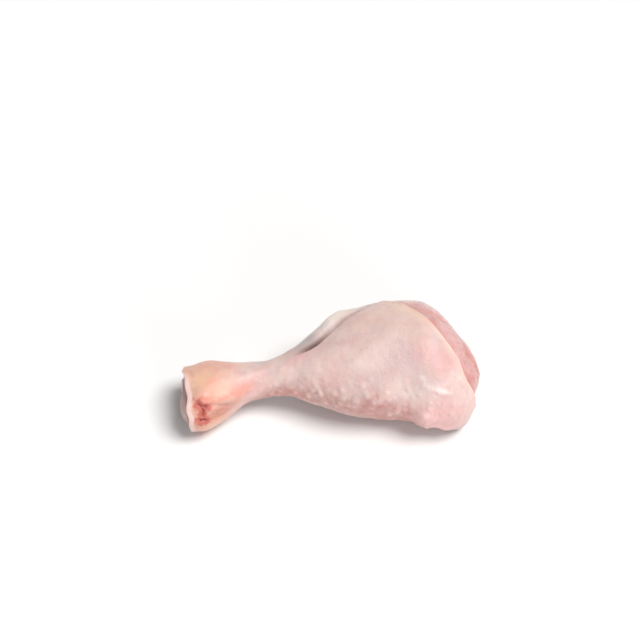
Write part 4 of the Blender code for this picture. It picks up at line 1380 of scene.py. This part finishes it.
class DRUMSTICK_OT_add_bone(bpy.types.Operator):
    """Add the leg bone with its cartilage ends"""

    bl_idname = "drumstick.add_bone"
    bl_label = "Add Bone"

    def execute(self, context):
        bone = build_bone("leg_bone", BONE_AROUND, BONE_ALONG)
        dress(bone, bone_material(context.scene.drumstick_bone), "bone")
        return {"FINISHED"}


class DRUMSTICK_OT_set_stage(bpy.types.Operator):
    """Set the pale floor, the soft lights and the camera"""

    bl_idname = "drumstick.set_stage"
    bl_label = "Set Stage"

    def execute(self, context):
        settings = context.scene.drumstick_studio
        set_floor(settings)
        set_lights(settings)
        set_camera(settings)
        return {"FINISHED"}


# The point of the leg's own frame that lies at the photograph's middle, on the camera's upright plane.
VIEW_MIDDLE_X = -0.0045
VIEW_MIDDLE_UP = 0.0342
CLIP_RANGE = (0.01, 20.0)
FLOOR_SIZE = 20.0

# The far round lights: where each comes from, how many degrees wide it looks, and its colour.
MAIN_LIGHT = ((0.41, -0.10, 0.90), 30, (1.0, 0.99, 0.975))
FRONT_LIGHT = ((0.45, -0.86, 0.30), 20, (0.98, 0.99, 1.0))

# The heights of a direction between which the surround changes from its horizon to its sky.
HORIZON_BAND = (0.14, 0.30)


def set_floor(settings):
    bpy.ops.mesh.primitive_plane_add(size=FLOOR_SIZE, location=(0, 0, SOLID_BOX[0].z))
    floor = bpy.context.object
    floor.name = "floor"
    floor.data.materials.append(floor_material(settings))


def aim(item, direction):
    """Turn a light or a camera so that it looks from the direction towards the middle."""
    item.rotation_mode = "QUATERNION"
    item.rotation_quaternion = direction.to_track_quat("Z", "Y")


def add_soft_light(name, strength, direction, width, colour):
    """A far round light that lights the leg and the floor evenly."""
    data = bpy.data.lights.new(name, "SUN")
    data.angle = math.radians(width)
    data.energy = strength
    data.color = colour
    light = add_object(name, data)
    light.location = Vector(direction).normalized()
    aim(light, light.location)


def set_lights(settings):
    add_soft_light("main_light", settings.main_strength, *MAIN_LIGHT)
    add_soft_light("front_light", settings.front_strength, *FRONT_LIGHT)
    world = bpy.data.worlds.new("white_surround")
    world.use_nodes = True
    nodes = Nodes(world.node_tree)
    height = nodes.add("SeparateXYZ", {"Vector": nodes.add("TexCoord", {}, "Generated")}, "Z")
    brightness = nodes.ramp(height, *HORIZON_BAND, settings.horizon, settings.sky)
    background = world.node_tree.nodes["Background"]
    nodes.plug(background.inputs["Color"], (1.0, 1.0, 1.0, 1))
    nodes.plug(background.inputs["Strength"], brightness)
    bpy.context.scene.world = world
    bpy.context.scene.view_settings.view_transform = "Standard"


def set_camera(settings):
    data = bpy.data.cameras.new("camera")
    data.lens = settings.lens
    data.clip_start, data.clip_end = CLIP_RANGE
    height = settings.camera_elevation
    back = Vector((0, -math.cos(height), math.sin(height)))
    upright = Vector((0, math.sin(height), math.cos(height)))
    middle = Vector((VIEW_MIDDLE_X, 0, 0)) - Vector(BOX_MIDDLE) + upright * VIEW_MIDDLE_UP
    distance = settings.picture_width * data.lens / data.sensor_width
    camera = add_object("camera", data)
    camera.location = middle + back * distance
    aim(camera, back)
    bpy.context.scene.camera = camera



class DRUMSTICK_PT_panel(bpy.types.Panel):
    """The drumstick's pieces and settings"""

    bl_idname = "DRUMSTICK_PT_panel"
    bl_label = "Raw Chicken Drumstick"
    bl_space_type = "VIEW_3D"
    bl_region_type = "UI"
    bl_category = "Drumstick"

    def draw(self, context):
        for name, group in SETTINGS.items():
            box = self.layout.box()
            for setting in group.__annotations__:
                box.prop(getattr(context.scene, name), setting)
        for operator in OPERATORS:
            self.layout.operator(operator.bl_idname)


SETTINGS = {
    "drumstick_skin": DrumstickSkinSettings,
    "drumstick_flesh": DrumstickFleshSettings,
    "drumstick_bone": DrumstickBoneSettings,
    "drumstick_studio": DrumstickStudioSettings,
}
OPERATORS = (DRUMSTICK_OT_add_bone, DRUMSTICK_OT_add_flesh, DRUMSTICK_OT_add_skin, DRUMSTICK_OT_set_stage)
CLASSES = (*SETTINGS.values(), *OPERATORS, DRUMSTICK_PT_panel)


def register():
    for item in CLASSES:
        bpy.utils.register_class(item)
    for name, group in SETTINGS.items():
        setattr(bpy.types.Scene, name, PointerProperty(type=group))


def unregister():
    for name in SETTINGS:
        delattr(bpy.types.Scene, name)
    for item in reversed(CLASSES):
        bpy.utils.unregister_class(item)


def main():
    register()
    bpy.ops.drumstick.add_bone()
    bpy.ops.drumstick.add_flesh()
    bpy.ops.drumstick.add_skin()
    bpy.ops.drumstick.set_stage()


if __name__ == "__main__":
    main()
